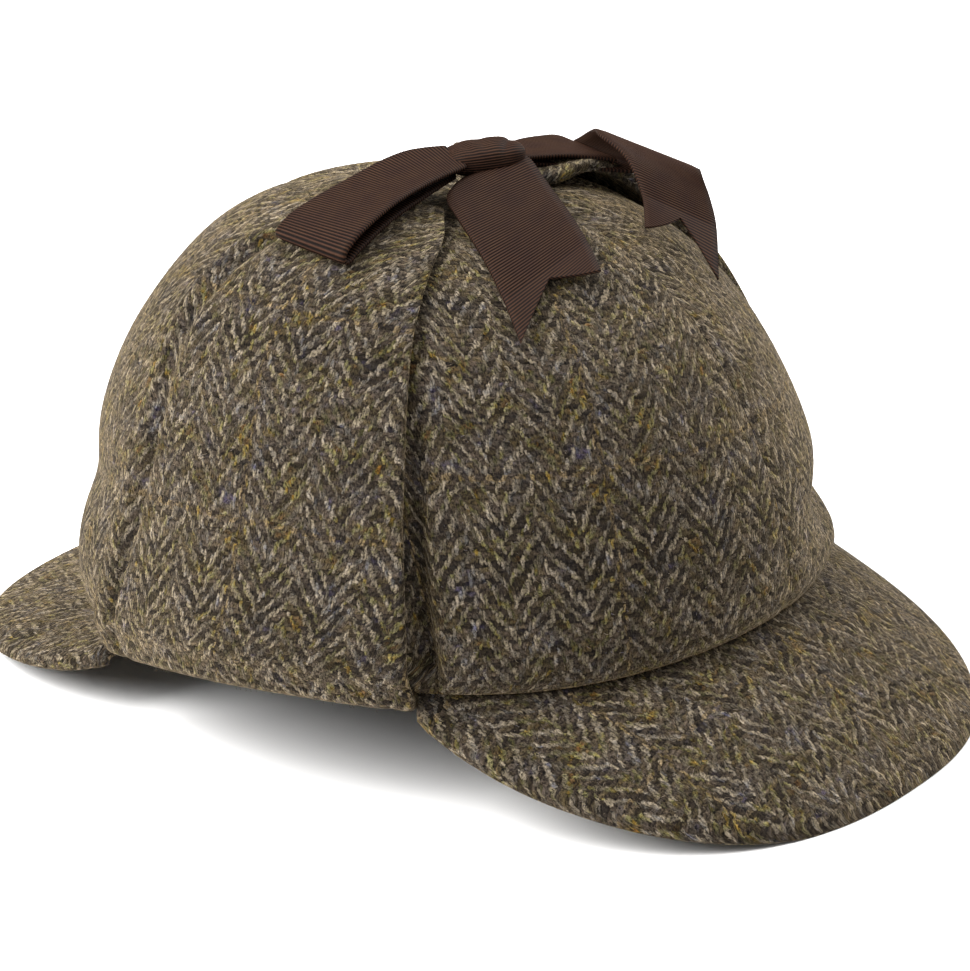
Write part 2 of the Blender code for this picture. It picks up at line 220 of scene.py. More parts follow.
YARN_STEPS = (
    # result, operation, terms
    ("ends", "DIVIDE", "across", YARN_MM),
    ("picks", "DIVIDE", "along", PICK_MM),
    ("end", "FLOOR", "ends"),
    ("pick", "FLOOR", "picks"),
)
WEAVE_STEPS = (
    # The twill: how far its slant has come at a place.
    ("in_repeat", "FLOORED_MODULO", "ends", 2 * BAND_YARNS),
    ("turned_back", "GREATER_THAN", "in_repeat", BAND_YARNS),
    ("mirrored", "SUBTRACT", 2 * BAND_YARNS + BAND_BREAK, "in_repeat"),
    ("difference", "SUBTRACT", "mirrored", "in_repeat"),
    ("slant", "MULTIPLY_ADD", "turned_back", "difference", "in_repeat"),
    ("slant_step", "FLOOR", "slant"),
    # The warp: where in its float a place is, along the yarn and across it.
    ("warp_even", "ADD", "picks", "slant_step"),
    ("warp_run", "MULTIPLY_ADD", "slip", WARP_SLIP, "warp_even"),
    ("warp_start", "ADD", "warp_run", 1.0),
    ("warp_phase", "FLOORED_MODULO", "warp_start", WEAVE_REPEAT),
    ("warp_along", "SUBTRACT", "warp_phase", WEAVE_REPEAT / 2),
    ("warp_count", "DIVIDE", "warp_start", WEAVE_REPEAT),
    ("warp_float", "FLOOR", "warp_count"),
    ("end_part", "SUBTRACT", "ends", "end"),
    ("end_place", "SUBTRACT", "end_part", 0.5),
    ("lean", "MULTIPLY_ADD", "turned_back", -2 * FLOAT_LEAN, FLOAT_LEAN),
    ("warp_side", "MULTIPLY_ADD", "warp_along", "lean", "end_place"),
    ("side_share", "DIVIDE", "warp_side", FLOAT_HALF_WIDTH),
    ("side_square", "MULTIPLY", "side_share", "side_share"),
    ("along_share", "DIVIDE", "warp_along", FLOAT_HALF_LENGTH),
    ("along_square", "MULTIPLY", "along_share", "along_share"),
    ("along_fourth", "MULTIPLY", "along_square", "along_square"),
    ("oval", "ADD", "side_square", "along_fourth"),
    ("warp_height", "SUBTRACT", 1.0, "oval"),
    # The weft, in the same way.
    ("weft_run", "ADD", "pick", "slant"),
    ("weft_start", "SUBTRACT", "weft_run", 1.0),
    ("weft_phase", "FLOORED_MODULO", "weft_start", WEAVE_REPEAT),
    ("weft_along", "SUBTRACT", "weft_phase", WEAVE_REPEAT / 2),
    ("weft_count", "DIVIDE", "weft_start", WEAVE_REPEAT),
    ("weft_float", "FLOOR", "weft_count"),
    ("pick_part", "SUBTRACT", "picks", "pick"),
    ("pick_place", "SUBTRACT", "pick_part", 0.5),
    ("weft_side", "DIVIDE", "pick_place", WEFT_HALF_WIDTH),
    ("weft_side_square", "MULTIPLY", "weft_side", "weft_side"),
    ("weft_share", "DIVIDE", "weft_along", WEFT_HALF_LENGTH),
    ("weft_share_square", "MULTIPLY", "weft_share", "weft_share"),
    ("weft_oval", "ADD", "weft_side_square", "weft_share_square"),
    ("weft_body", "SUBTRACT", 1.0, "weft_oval"),
    ("weft_height", "MULTIPLY", "weft_body", WEFT_LEVEL),
    ("height", "MAXIMUM", "warp_height", "weft_height"),
)

print("herringbone band:", BAND_YARNS * YARN_MM, "mm")

# %% [markdown]
# ## The tweed
# The yarns are spun from wool that was dyed before spinning, so one yarn holds many colours:
# greige, olive, gold and rust, with a little blue and violet. That gives the eye a warm brown
# that breaks up into flecks from near by. A thin gold and rust line crosses the cloth every
# 56 mm.
# The material is made in four steps: the yarns stray from their straight lines, get their
# colours, get their light and shade, and stand up in relief. First come the yarns' paths. Noise
# moves the place that the weave is read at, and lets each warp yarn's floats slip out of step.
# Every noise below that reads yarns has its own fixed depth in its third direction, so that no
# two of them show the same pattern.

# %% Let the yarns stray
# How far a yarn strays from its straight line, and over what length, in millimetres.
YARN_STRAY = ((0.7, 10.0), (0.29, 2.4), (0.17, 0.46))
# Neighbouring yarns read their noise this far apart, so that each has a run of its own.
SLIP_APART = 3.7
SLIP_MM = 3.0


def strayed(tree, cloth):
    """The place on the cloth after its yarns have strayed, and the weave's results there."""
    place = cloth
    for stray, length in YARN_STRAY:
        wander = noise_at(tree, cloth, 1 / length, 1.0, 0.5)["Color"]
        centred = vector_math(tree, "SUBTRACT", wander, (0.5, 0.5, 0.5))
        # Such noise hardly goes past a quarter either way, so four times it is the whole stray.
        place = vector_math(tree, "MULTIPLY_ADD", centred, (4 * stray, 4 * stray, 0.0), place)
    parted = add_node(tree, "ShaderNodeSeparateXYZ", inputs={0: place}).outputs
    yarn = work_out(tree, YARN_STEPS, {"across": parted[0], "along": parted[1]})
    apart = work_out(
        tree,
        (("u", "MULTIPLY", "end", SLIP_APART), ("v", "DIVIDE", "along", SLIP_MM)),
        yarn,
    )
    where = place_of(tree, apart["u"], apart["v"], 4.0)
    yarn["noise"] = noise_at(tree, where, 1.0, 0.0, 0.5)["Fac"]
    steps = (("slip", "SUBTRACT", "noise", 0.5), *WEAVE_STEPS)
    return place, work_out(tree, steps, yarn)


# %% [markdown]
# Each yarn has its own run of colours: the noise is read far apart for neighbouring yarns and
# close together along one of them. A wider noise leans whole patches of yarns towards one end
# of the colours.

# %% Colour the yarns
WARP_COLOURS = (
    (0.22, "#743f20"),
    (0.32, "#795f20"),
    (0.41, "#66623d"),
    (0.48, "#726856"),
    (0.56, "#827768"),
    (0.65, "#696662"),
    (0.76, "#4b4b64"),
)
WEFT_COLOURS = (
    (0.26, "#61401e"),
    (0.40, "#534831"),
    (0.52, "#4c4138"),
    (0.62, "#4d4640"),
    (0.76, "#3b3555"),
)
WARP_APART = 7.31
WEFT_APART = 5.17
FLECK_MM = 4.5
PATCH_MM = 9.0
# How much of a yarn's place among its colours is its own, and how much is its patch's.
OWN_SHARE = 0.60
PATCH_SHARE = 0.76
COLOUR_START = 0.13
OVERCHECK_MM = 56.0
OVERCHECK_YARNS = 1.5
OVERCHECK_SHARE = 0.40
OVERCHECK_COLOUR = "#826424"


def yarn_colours(tree, cloth, weave):
    """The colour of the warp yarn and of the weft yarn at a place."""
    patch = noise_at(tree, cloth, 1 / PATCH_MM, 3.0, 0.65)["Fac"]
    spots = work_out(
        tree,
        (
            ("warp_u", "MULTIPLY", "end", WARP_APART),
            ("warp_v", "DIVIDE", "along", FLECK_MM),
            ("weft_u", "DIVIDE", "across", FLECK_MM),
            ("weft_v", "MULTIPLY", "pick", WEFT_APART),
        ),
        weave,
    )
    colours = []
    for yarn, depth, stops in (("warp", 0.0, WARP_COLOURS), ("weft", 9.0, WEFT_COLOURS)):
        where = place_of(tree, spots[yarn + "_u"], spots[yarn + "_v"], depth)
        toned = work_out(
            tree,
            (
                ("own_part", "MULTIPLY_ADD", "own", OWN_SHARE, -OWN_SHARE / 2),
                ("both", "MULTIPLY_ADD", "patch", PATCH_SHARE, "own_part"),
                ("factor", "ADD", "both", COLOUR_START),
            ),
            {"own": noise_at(tree, where, 1.0, 2.0, 0.6)["Fac"], "patch": patch},
        )
        ramp = add_node(
            tree, "ShaderNodeValToRGB", inputs={"Fac": toned["factor"]}, stops=stops
        )
        colours.append(ramp.outputs["Color"])

    # The overcheck is one line of coloured yarn each way, broken up as it dips under.
    check = work_out(
        tree,
        (
            ("u", "DIVIDE", "across", OVERCHECK_MM),
            ("u_off", "PINGPONG", "u", 0.5),
            ("v", "DIVIDE", "along", OVERCHECK_MM),
            ("v_off", "PINGPONG", "v", 0.5),
            ("near", "MINIMUM", "u_off", "v_off"),
            ("line", "LESS_THAN", "near", OVERCHECK_YARNS / 2 * YARN_MM / OVERCHECK_MM),
            ("share", "MULTIPLY", "line", OVERCHECK_SHARE),
        ),
        weave,
    )
    return mixed(tree, check["share"], colours[0], linear(OVERCHECK_COLOUR)), colours[1]


# %% [markdown]
# No two floats are alike: chance makes some dark and lets others catch the light. Fibres that
# lie along the yarn, drawn half a millimetre thick so that they show, break every float up,
# and clouds a few millimetres across make the cloth lighter here and darker there. Painted shade
# follows the weave's height, so the hollows between the yarns and the lower weft are darker than
# the raised warp. Each of these is a share of the lightness, a factor times its noise or height
# plus a base, and the shares are multiplied.

# %% Light and shade the yarns
FIBRE_MM = (0.46, 1.0)
CLOUD_MM = 5.0
# Painted shade: the lower a place lies in the weave, in a hollow or on the weft, the darker it is
# made.
HOLLOW_SHADE_PAINTED = (0.54, 0.53)
WARP_LIGHT = (1.05, 0.455)
WEFT_LIGHT = (1.2, 0.40)
FIBRE_LIGHT = (6.6, -2.3)
FIBRE_DARKEST = 0.10
CLOUD_LIGHT = (1.6, 0.20)
LIGHTNESS = 0.38
SHEEN = 0.29


def light_and_shade(tree, cloth, place, weave, over):
    """The lightness and the sheen of a place; `over` is 1 where the warp lies on top."""
    known = {"height": weave["height"], "over": over}
    for yarn, number, depth in (("warp", "end", 1.0), ("weft", "pick", 2.0)):
        where = place_of(tree, weave[number], weave[yarn + "_float"], depth)
        chance = add_node(tree, "ShaderNodeTexWhiteNoise", inputs={"Vector": where})
        known[yarn + "_chance"] = chance.outputs["Value"]
    stretched = vector_math(tree, "MULTIPLY", place, (1 / FIBRE_MM[0], 1 / FIBRE_MM[1], 1.0))
    known["fine"] = noise_at(tree, stretched, 1.0, 2.0, 0.8)["Fac"]
    known["cloud"] = noise_at(tree, cloth, 1 / CLOUD_MM, 4.0, 0.7)["Fac"]
    steps = (
        # Painted shade by the weave's height: hollows and weft darker than the warp's tops.
        ("low", "MAXIMUM", "height", 0.0),
        ("painted_hollow_shade", "MULTIPLY_ADD", "low", *HOLLOW_SHADE_PAINTED),
        ("from_warp", "MULTIPLY_ADD", "warp_chance", *WARP_LIGHT),
        ("from_weft", "MULTIPLY_ADD", "weft_chance", *WEFT_LIGHT),
        ("more_in_warp", "SUBTRACT", "from_warp", "from_weft"),
        ("from_float", "MULTIPLY_ADD", "over", "more_in_warp", "from_weft"),
        ("fibres", "MULTIPLY_ADD", "fine", *FIBRE_LIGHT),
        ("from_fibres", "MAXIMUM", "fibres", FIBRE_DARKEST),
        ("from_cloud", "MULTIPLY_ADD", "cloud", *CLOUD_LIGHT),
        ("two", "MULTIPLY", "painted_hollow_shade", "from_fibres"),
        ("three", "MULTIPLY", "two", "from_float"),
        ("four", "MULTIPLY", "three", "from_cloud"),
        ("lightness", "MULTIPLY", "four", LIGHTNESS),
        ("sheen", "MULTIPLY", "three", SHEEN),
    )
    return work_out(tree, steps, known)


# %% [markdown]
# The finish of wool is matt, so the roughness is high. A weak sheen stands for the nap, which
# catches the light where the cloth turns away. The nap lies on the raised yarns, so the sheen
# follows them, and the hollows between the yarns stay dark at the hat's edges too. The relief
# is a bump a quarter of a millimetre deep.

# %% Make the tweed
WEAVE_DEPTH = 0.00024
YARN_RELIEF = 0.7
FIBRE_RELIEF = 0.8
# The weft gives way to the warp over this much of the warp's height.
OVER_HEIGHT = 0.30
WOOL = {
    "Roughness": 0.92,
    "Specular IOR Level": 0.08,
    "Sheen Roughness": 0.5,
    "Sheen Tint": linear("#e0c597"),
}


def tweed():
    material, tree, shader = new_material("herringbone_wool_tweed", WOOL)
    cloth = add_node(tree, "ShaderNodeUVMap", {"uv_map": "threads_mm"}).outputs["UV"]
    place, weave = strayed(tree, cloth)
    warp_colour, weft_colour = yarn_colours(tree, cloth, weave)
    over = add_node(
        tree,
        "ShaderNodeMapRange",
        {"interpolation_type": "SMOOTHSTEP"},
        {"Value": weave["warp_height"], "From Min": 0.0, "From Max": OVER_HEIGHT},
    ).outputs[0]
    shade = light_and_shade(tree, cloth, place, weave, over)
    shaded = scaled(tree, mixed(tree, over, weft_colour, warp_colour), shade["lightness"])
    relief = work_out(
        tree,
        (
            ("fuzz", "MULTIPLY", "fine", FIBRE_RELIEF),
            ("top", "MULTIPLY_ADD", "height", YARN_RELIEF, "fuzz"),
        ),
        shade,
    )
    bump = add_node(
        tree,
        "ShaderNodeBump",
        inputs={"Height": relief["top"], "Strength": 1.0, "Distance": WEAVE_DEPTH},
    )
    tree.links.new(shaded, shader.inputs["Base Color"])
    tree.links.new(shade["sheen"], shader.inputs["Sheen Weight"])
    tree.links.new(bump.outputs[0], shader.inputs["Normal"])
    return material


TWEED = tweed()
print("tweed nodes:", len(TWEED.node_tree.nodes))

# %% [markdown]
# ## The loose wool
# A woollen cloth is never smooth: the ends of fibres stand out of it. They are far thinner than
# a picture shows, so they are drawn three times as thick and in smaller numbers. A bundle of
# dyed wool holds a few colours, and so does this material: they change within a millimetre or
# two, by the place on the hat.

# %% Make the loose fibres' material
LOOSE_COLOURS = (
    (0.34, "#4a3a26"),
    (0.45, "#5d5244"),
    (0.55, "#90806a"),
    (0.66, "#5a5866"),
)
# Object coordinates are metres, so this many bumps in a metre are about 1.1 mm each.
LOOSE_SCALE = 900.0


def loose_wool():
    material, tree, shader = new_material(
        "loose_wool_fibres", {"Roughness": 0.7, "Specular IOR Level": 0.25}
    )
    place = add_node(tree, "ShaderNodeTexCoord").outputs["Object"]
    mixture = noise_at(tree, place, LOOSE_SCALE, 1.0, 0.5)["Fac"]
    ramp = add_node(tree, "ShaderNodeValToRGB", inputs={"Fac": mixture}, stops=LOOSE_COLOURS)
    tree.links.new(ramp.outputs["Color"], shader.inputs["Base Color"])
    return material


LOOSE_WOOL = loose_wool()
print("colours of loose wool:", len(LOOSE_COLOURS))

# %% [markdown]
# ## The ribbon's finish
# Grosgrain is a ribbon with a fine warp over thick weft cords, so it shows ribs straight across,
# just under a millimetre apart. The ribs themselves are modelled further on. The material adds
# the fine warp threads that run along the ribbon, and painted shade that darkens the hollow
# between two ribs. The brown is nearly matt, with only a dull shine on the ribs.

# %% Make the ribbon's material
RIB_MM = 0.94
RIBBON_COLOURS = ((0.35, "#38241b"), (0.65, "#3b271b"))
# The size of the noise that gives the threads, across and along the ribbon, and of the tone's.
THREAD_MM = (0.22, 4.0)
TONE_MM = 6.0
# Shares of the lightness as for the tweed: the painted shade between two ribs, the ribbon's tone and
# its threads.
RIB_HOLLOW_SHADE_PAINTED = (1.02, 0.08)
TONE_LIGHT = (0.3, 0.85)
THREAD_LIGHT = (0.4, 0.7)
THREAD_DEPTH = 0.00005


def grosgrain():
    material, tree, shader = new_material(
        "brown_grosgrain_ribbon", {"Roughness": 0.65, "Specular IOR Level": 0.06}
    )
    cloth = add_node(tree, "ShaderNodeUVMap", {"uv_map": "threads_mm"}).outputs["UV"]
    parted = add_node(tree, "ShaderNodeSeparateXYZ", inputs={0: cloth}).outputs
    tone = noise_at(tree, cloth, 1 / TONE_MM, 2.0, 0.5)["Fac"]
    stretched = vector_math(tree, "MULTIPLY", cloth, (1 / THREAD_MM[0], 1 / THREAD_MM[1], 1.0))
    thread = noise_at(tree, stretched, 1.0, 1.0, 0.5)["Fac"]
    # The fourth power of the rib's curve keeps the painted shade between two ribs narrow.
    got = work_out(
        tree,
        (
            ("rib_turn", "MULTIPLY", "along", math.pi / RIB_MM),
            ("rib", "SINE", "rib_turn"),
            ("rib_soft", "MULTIPLY", "rib", "rib"),
            ("rib_narrow", "MULTIPLY", "rib_soft", "rib_soft"),
            ("painted_rib_shade", "MULTIPLY_ADD", "rib_narrow", *RIB_HOLLOW_SHADE_PAINTED),
            ("from_tone", "MULTIPLY_ADD", "tone", *TONE_LIGHT),
            ("from_thread", "MULTIPLY_ADD", "thread", *THREAD_LIGHT),
            ("two", "MULTIPLY", "painted_rib_shade", "from_thread"),
            ("lightness", "MULTIPLY", "two", "from_tone"),
        ),
        {"along": parted[1], "tone": tone, "thread": thread},
    )
    brown = add_node(tree, "ShaderNodeValToRGB", inputs={"Fac": tone}, stops=RIBBON_COLOURS)
    shaded = scaled(tree, brown.outputs["Color"], got["lightness"])
    bump = add_node(
        tree,
        "ShaderNodeBump",
        inputs={"Height": thread, "Strength": 0.5, "Distance": THREAD_DEPTH},
    )
    tree.links.new(shaded, shader.inputs["Base Color"])
    tree.links.new(bump.outputs[0], shader.inputs["Normal"])
    return material


RIBBON_FINISH = grosgrain()
print("ribs per centimetre of ribbon:", round(10 / RIB_MM, 1))

# %% [markdown]
# ## The shape of the hat
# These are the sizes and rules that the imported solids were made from. The rim is an oval that
# rides higher in front; the crown is a dome between the rim and its top. A place on the crown is
# named by its heading, seen from where the gores meet, and by its share of the way to the rim.
# How far up the crown a place is, measured over the cloth, is called its climb.

# %% The rim and the crown
RIM_HALF_WIDTH = 0.0900
RIM_HALF_LENGTH = 0.1035
RIM_HEIGHT = 0.0270
RIM_FRONT_RISE = 0.0120
RIM_ENDS_DROP = 0.0050
RIM_TURN = 0.0016
RIM_CORNER = 0.0010
CROWN_TOP = 0.1355
CROWN_LEAN = 0.0056
SIDE_POWER = 3.38
TOP_POWER = 1.89
MEETING_POINT = np.array([0.0105, -0.0131])
CROWN_CLOTH = 0.0025
CROWN_PUFF = 0.0030
RIM_TUCK = 0.0046
TUCK_HEIGHT = 0.0050
TOP_HOLE = 0.012


def rim_height(angle):
    return (
        RIM_HEIGHT
        + RIM_FRONT_RISE * math.sin(angle)
        + RIM_ENDS_DROP * math.cos(2 * angle)
        - RIM_TURN * math.sin(3 * angle)
        + RIM_CORNER * math.cos(4 * angle)
    )


def around(rim_angle):
    """The heading of a place on the rim, given in degrees from the wearer's right."""
    a = math.radians(rim_angle)
    x = RIM_HALF_WIDTH * math.cos(a) + MEETING_POINT[0]
    y = RIM_HALF_LENGTH * math.sin(a) + MEETING_POINT[1]
    return math.atan2(y, x)


def dome(x, y, off):
    """The rim's height and the share of the climb to the top, over one place of the plan."""
    wide = x / (RIM_HALF_WIDTH + off)
    long = y / (RIM_HALF_LENGTH + off)
    base = rim_height(math.atan2(-long, -wide))
    return base, max(0.0, 1 - math.hypot(wide, long) ** SIDE_POWER) ** (1 / TOP_POWER)


def crown_point(heading, share, off):
    """A point `off` outside the crown, `share` of the way from the meeting point to the rim."""
    out = np.array([-math.cos(heading), -math.sin(heading)])
    half = np.array([RIM_HALF_WIDTH + off, RIM_HALF_LENGTH + off])
    start = MEETING_POINT / half
    step = out / half
    a, b, c = step @ step, start @ step, start @ start - 1
    reach = (-b + math.sqrt(b * b - a * c)) / a
    spot = MEETING_POINT + share * reach * out
    base, rise = dome(spot[0], spot[1], off)
    climb = (CROWN_TOP + off - base) * rise
    puff = CROWN_PUFF * (1 - rise * rise) - RIM_TUCK * math.exp(-climb / TUCK_HEIGHT)
    spot = spot + out * puff
    return np.array([spot[0], spot[1] + CROWN_LEAN * rise, base + climb])


# How far up the crown every share of the way to the rim is, along the dome's profile.
TURN = np.linspace(0, math.pi / 2, 721)
SHARES = np.cos(TURN) ** (2 / SIDE_POWER)
STEPS_UP = np.hypot(
    np.diff(SHARES) * (RIM_HALF_WIDTH + RIM_HALF_LENGTH) / 2,
    np.diff(np.sin(TURN) ** (2 / TOP_POWER)) * (CROWN_TOP - RIM_HEIGHT),
)
CLIMBS = np.concatenate([[0.0], np.cumsum(STEPS_UP)])


def share_at(climb):
    """The share of the way to the rim, from how far up the crown a place is in metres."""
    return float(np.interp(climb, CLIMBS, SHARES))


def wave(point, length, seed):
    """Smooth noise between -1 and 1, its bumps about `length` apart."""
    return noise.noise(Vector(point) / length + Vector((seed, 2.3 * seed, 0.7 * seed)))


print("from the rim over the crown to its top:", round(1000 * CLIMBS[-1]), "mm")

# %% [markdown]
# ## From two grids to a piece of cloth
# Every piece of this hat is a wall between an outer and an inner face. Each face is a grid of
# points, and the wall is closed round the border. The UV map holds the cloth's own millimetres,
# measured along the grid, so that the weave keeps its size however the cloth bends. Round the
# border it goes on over the edge, or the yarns there would be drawn out into streaks.


# %% Build a wall of cloth
def threads_of(grid):
    """Millimetres across the cloth from its middle column, and up that column, for each point."""
    across = np.linalg.norm(np.diff(grid, axis=1), axis=2)
    across = np.concatenate([np.zeros((len(grid), 1)), np.cumsum(across, axis=1)], axis=1)
    middle = grid.shape[1] // 2
    up = np.linalg.norm(np.diff(grid[:, middle], axis=0), axis=1)
    up = np.concatenate([[0.0], np.cumsum(up)])
    both = np.stack([across - across[:, middle : middle + 1], up[:, None] + 0 * across], axis=2)
    return 1000 * both


def normals_of(grid):
    along = np.gradient(grid, axis=0)
    across = np.gradient(grid, axis=1)
    found = np.cross(across, along)
    return found / np.linalg.norm(found, axis=2, keepdims=True)


def mark_points(mesh, key, values):
    """Gives each point of a mesh a named value."""
    attribute = mesh.attributes.new(key, "FLOAT", "POINT")
    attribute.data.foreach_set("value", values.astype(np.float32))


def smooth_piece(name, mesh, material):
    mesh.materials.append(material)
    mesh.shade_smooth()
    found = bpy.data.objects.new(name, mesh)
    bpy.context.scene.collection.objects.link(found)
    return found


def wall(name, outer, inner, threads, material, marks):
    """A closed mesh between two grids. `marks` are named values for the points of the grids."""
    if (normals_of(outer) * (outer - inner)).sum() < 0:
        outer, inner, threads = outer[::-1], inner[::-1], threads[::-1]
        marks = {key: [side[::-1] for side in sides] for key, sides in marks.items()}
    rows, columns = outer.shape[:2]
    count = rows * columns
    index = np.arange(count).reshape(rows, columns)
    quads = np.stack([index[:-1, :-1], index[:-1, 1:], index[1:, 1:], index[1:, :-1]], axis=2)
    quads = quads.reshape(-1, 4)
    border = np.concatenate([index[0, :], index[1:, -1], index[-1, -2::-1], index[-2:0:-1, 0]])
    after = np.roll(border, -1)
    rim = np.stack([after, border, border + count, after + count], axis=1)
    faces = np.concatenate([quads, quads[:, ::-1] + count, rim])

    flat = threads.reshape(-1, 2)
    beyond = np.zeros_like(threads)
    beyond[0, :, 1], beyond[-1, :, 1] = -1, 1
    beyond[:, 0, 0], beyond[:, -1, 0] = -1, 1
    beyond *= np.sign(threads[-1, 0] - threads[0, 0])[1], np.sign(threads[0, -1] - threads[0, 0])[0]
    thick = 1000 * np.linalg.norm(outer - inner, axis=2, keepdims=True)
    past = flat + (beyond * thick).reshape(-1, 2)
    uv = np.concatenate([flat[quads], flat[quads[:, ::-1]], flat[rim % count]])
    uv[len(quads) * 2 :, 2:] = past[rim[:, 2:] % count]

    mesh = bpy.data.meshes.new(name)
    points = np.concatenate([outer.reshape(-1, 3), inner.reshape(-1, 3)])
    mesh.from_pydata(points.tolist(), [], faces.tolist())
    layer = mesh.uv_layers.new(name="threads_mm")
    layer.data.foreach_set("uv", uv.reshape(-1).astype(np.float32))
    for key, sides in marks.items():
        mark_points(mesh, key, np.concatenate([side.reshape(-1) for side in sides]))
    return smooth_piece(name, mesh, material)


def cut_size(grid):
    """The cloth's widest and longest measure and its area, in metres, as it was cut."""
    sides = np.linalg.norm(np.diff(grid, axis=1), axis=2).sum(axis=1)
    length = np.linalg.norm(np.diff(grid, axis=0), axis=2).sum(axis=0)
    a = grid[:-1, 1:] - grid[:-1, :-1]
    b = grid[1:, :-1] - grid[:-1, :-1]
    area = np.linalg.norm(np.cross(a, b), axis=2).sum()
    return float(sides.max()), float(length.max()), float(area)


pieces = {}
grids = {}
stands_for = {}


def keep(name, node, made):
    """Notes a finished piece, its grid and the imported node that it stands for."""
    pieces[name], grids[name] = made
    stands_for[name] = node
    print(name, "cut:", [round(1000 * s) for s in cut_size(grids[name])[:2]], "mm")


# %% [markdown]
# ## Trees that repeat a form
# What repeats over a surface is a task for Geometry Nodes. Two trees are made here, one for the
# wool fibres and one for the ribbon's ribs. Both take a mesh and named sizes, and both end by
# turning their instances into a plain mesh and giving it its material.

# %% Start a tree, end it, and turn its result into a mesh
def new_tree(name, mesh_in, sizes, mesh_out):
    """A tree with a mesh and named sizes going in and a mesh coming out; and its inputs."""
    tree = bpy.data.node_groups.new(name, "GeometryNodeTree")
    face = tree.interface
    face.new_socket(mesh_in, in_out="INPUT", socket_type="NodeSocketGeometry")
    for key, kind in sizes:
        face.new_socket(key, in_out="INPUT", socket_type=kind)
    face.new_socket("finish", in_out="INPUT", socket_type="NodeSocketMaterial")
    face.new_socket(mesh_out, in_out="OUTPUT", socket_type="NodeSocketGeometry")
    return tree, add_node(tree, "NodeGroupInput").outputs


def end_tree(tree, geometry, finish, mesh_out):
    real = add_node(tree, "GeometryNodeRealizeInstances", inputs={"Geometry": geometry})
    done = add_node(
        tree,
        "GeometryNodeSetMaterial",
        inputs={"Geometry": real.outputs[0], "Material": finish},
    )
    add_node(tree, "NodeGroupOutput", inputs={mesh_out: done.outputs[0]})


def socket_of(tree, name):
    """The identifier of a tree's named input."""
    for item in tree.interface.items_tree:
        if item.item_type == "SOCKET" and item.in_out == "INPUT" and item.name == name:
            return item.identifier
    raise KeyError(name)


def realised(name, base, tree, values):
    """The plain mesh that a Geometry Nodes tree makes from a copy of a mesh."""
    made = bpy.data.objects.new(name, base.data.copy())
    bpy.context.scene.collection.objects.link(made)
    modifier = made.modifiers.new(tree.name, "NODES")
    modifier.node_group = tree
    for key, value in values.items():
        modifier[socket_of(tree, key)] = value
    bpy.context.view_layer.update()
    evaluated = made.evaluated_get(bpy.context.evaluated_depsgraph_get())
    mesh = bpy.data.meshes.new_from_object(evaluated)
    made.modifiers.remove(modifier)
    spare = made.data
    made.data = mesh
    mesh.name = name
    bpy.data.meshes.remove(spare)
    return made


# %% [markdown]
# ## Wool fibres that stand out of the cloth
# Points are scattered over the faces that show, and each gets one short bent fibre. A random
# lean, larger than the normal that it is added to, lays most of them nearly flat, as wear does.
# The `nap` attribute says where they grow: on the outer face only, and not where another piece
# covers it.

# %% The nap tree
FIBRE_LONG = 0.0011
FIBRE_RADIUS = 0.000036
FIBRE_LEAN = 3.6
# The points of one fibre, for a length of 1, and how thick its tip is beside its root.
FIBRE_BEND = {"Start": (0, 0, 0), "Middle": (0, 0, 0.6), "End": (0.45, 0, 0.8)}
FIBRE_TIP = 0.3
# The shortest and the longest fibre, as shares of FIBRE_LONG.
FIBRE_SIZES = (0.4, 1.25)
# The bow lies on the cloth above this height and between these places, in millimetres.
BOW_ABOVE = 127.5
BOW_X = (-54, 58)
BOW_Y = (-30, 20)


def one_fibre(tree, length, radius):
    """A bent line, thinner towards its tip, with three sides."""
    bent = add_node(
        tree, "GeometryNodeCurveQuadraticBezier", inputs={"Resolution": 2, **FIBRE_BEND}
    )
    sized = add_node(
        tree,
        "GeometryNodeTransform",
        inputs={"Geometry": bent.outputs[0], "Scale": place_of(tree, length, length, length)},
    )
    along = add_node(tree, "GeometryNodeSplineParameter")
    taper = add_node(
        tree,
        "ShaderNodeMapRange",
        inputs={"Value": along.outputs["Factor"], "To Min": 1.0, "To Max": FIBRE_TIP},
    )
    tapered = add_node(
        tree,
        "GeometryNodeSetCurveRadius",
        inputs={"Curve": sized.outputs[0], "Radius": taper.outputs[0]},
    )
    section = add_node(
        tree,
        "GeometryNodeCurvePrimitiveCircle",
        {"mode": "RADIUS"},
        {"Resolution": 3, "Radius": radius},
    )
    fibre = add_node(
        tree,
        "GeometryNodeCurveToMesh",
        inputs={"Curve": tapered.outputs[0], "Profile Curve": section.outputs[0], "Fill Caps": True},
    )
    return fibre.outputs[0]


def fibre_turn(tree, normal, lean, seed):
    """A rotation that stands a fibre along the normal, leans it at random and spins it."""
    chance = add_node(
        tree,
        "FunctionNodeRandomValue",
        {"data_type": "FLOAT_VECTOR"},
        {"Min": (-1, -1, -1), "Max": (1, 1, 1), "Seed": seed},
    )
    way = vector_math(tree, "ADD", normal, scaled(tree, chance.outputs[0], lean))
    turned_to = add_node(tree, "FunctionNodeAlignRotationToVector", {"axis": "Z"}, {"Vector": way})
    spin = add_node(
        tree,
        "FunctionNodeRandomValue",
        {"data_type": "FLOAT"},
        {2: 0.0, 3: 2 * math.pi, "Seed": seed},
    )
    spun = add_node(
        tree,
        "FunctionNodeAxisAngleToRotation",
        inputs={"Axis": (0, 0, 1), "Angle": spin.outputs[1]},
    )
    rotation = add_node(
        tree,
        "FunctionNodeRotateRotation",
        {"rotation_space": "LOCAL"},
        {"Rotation": turned_to.outputs[0], "Rotate By": spun.outputs[0]},
    )
    return rotation.outputs[0]


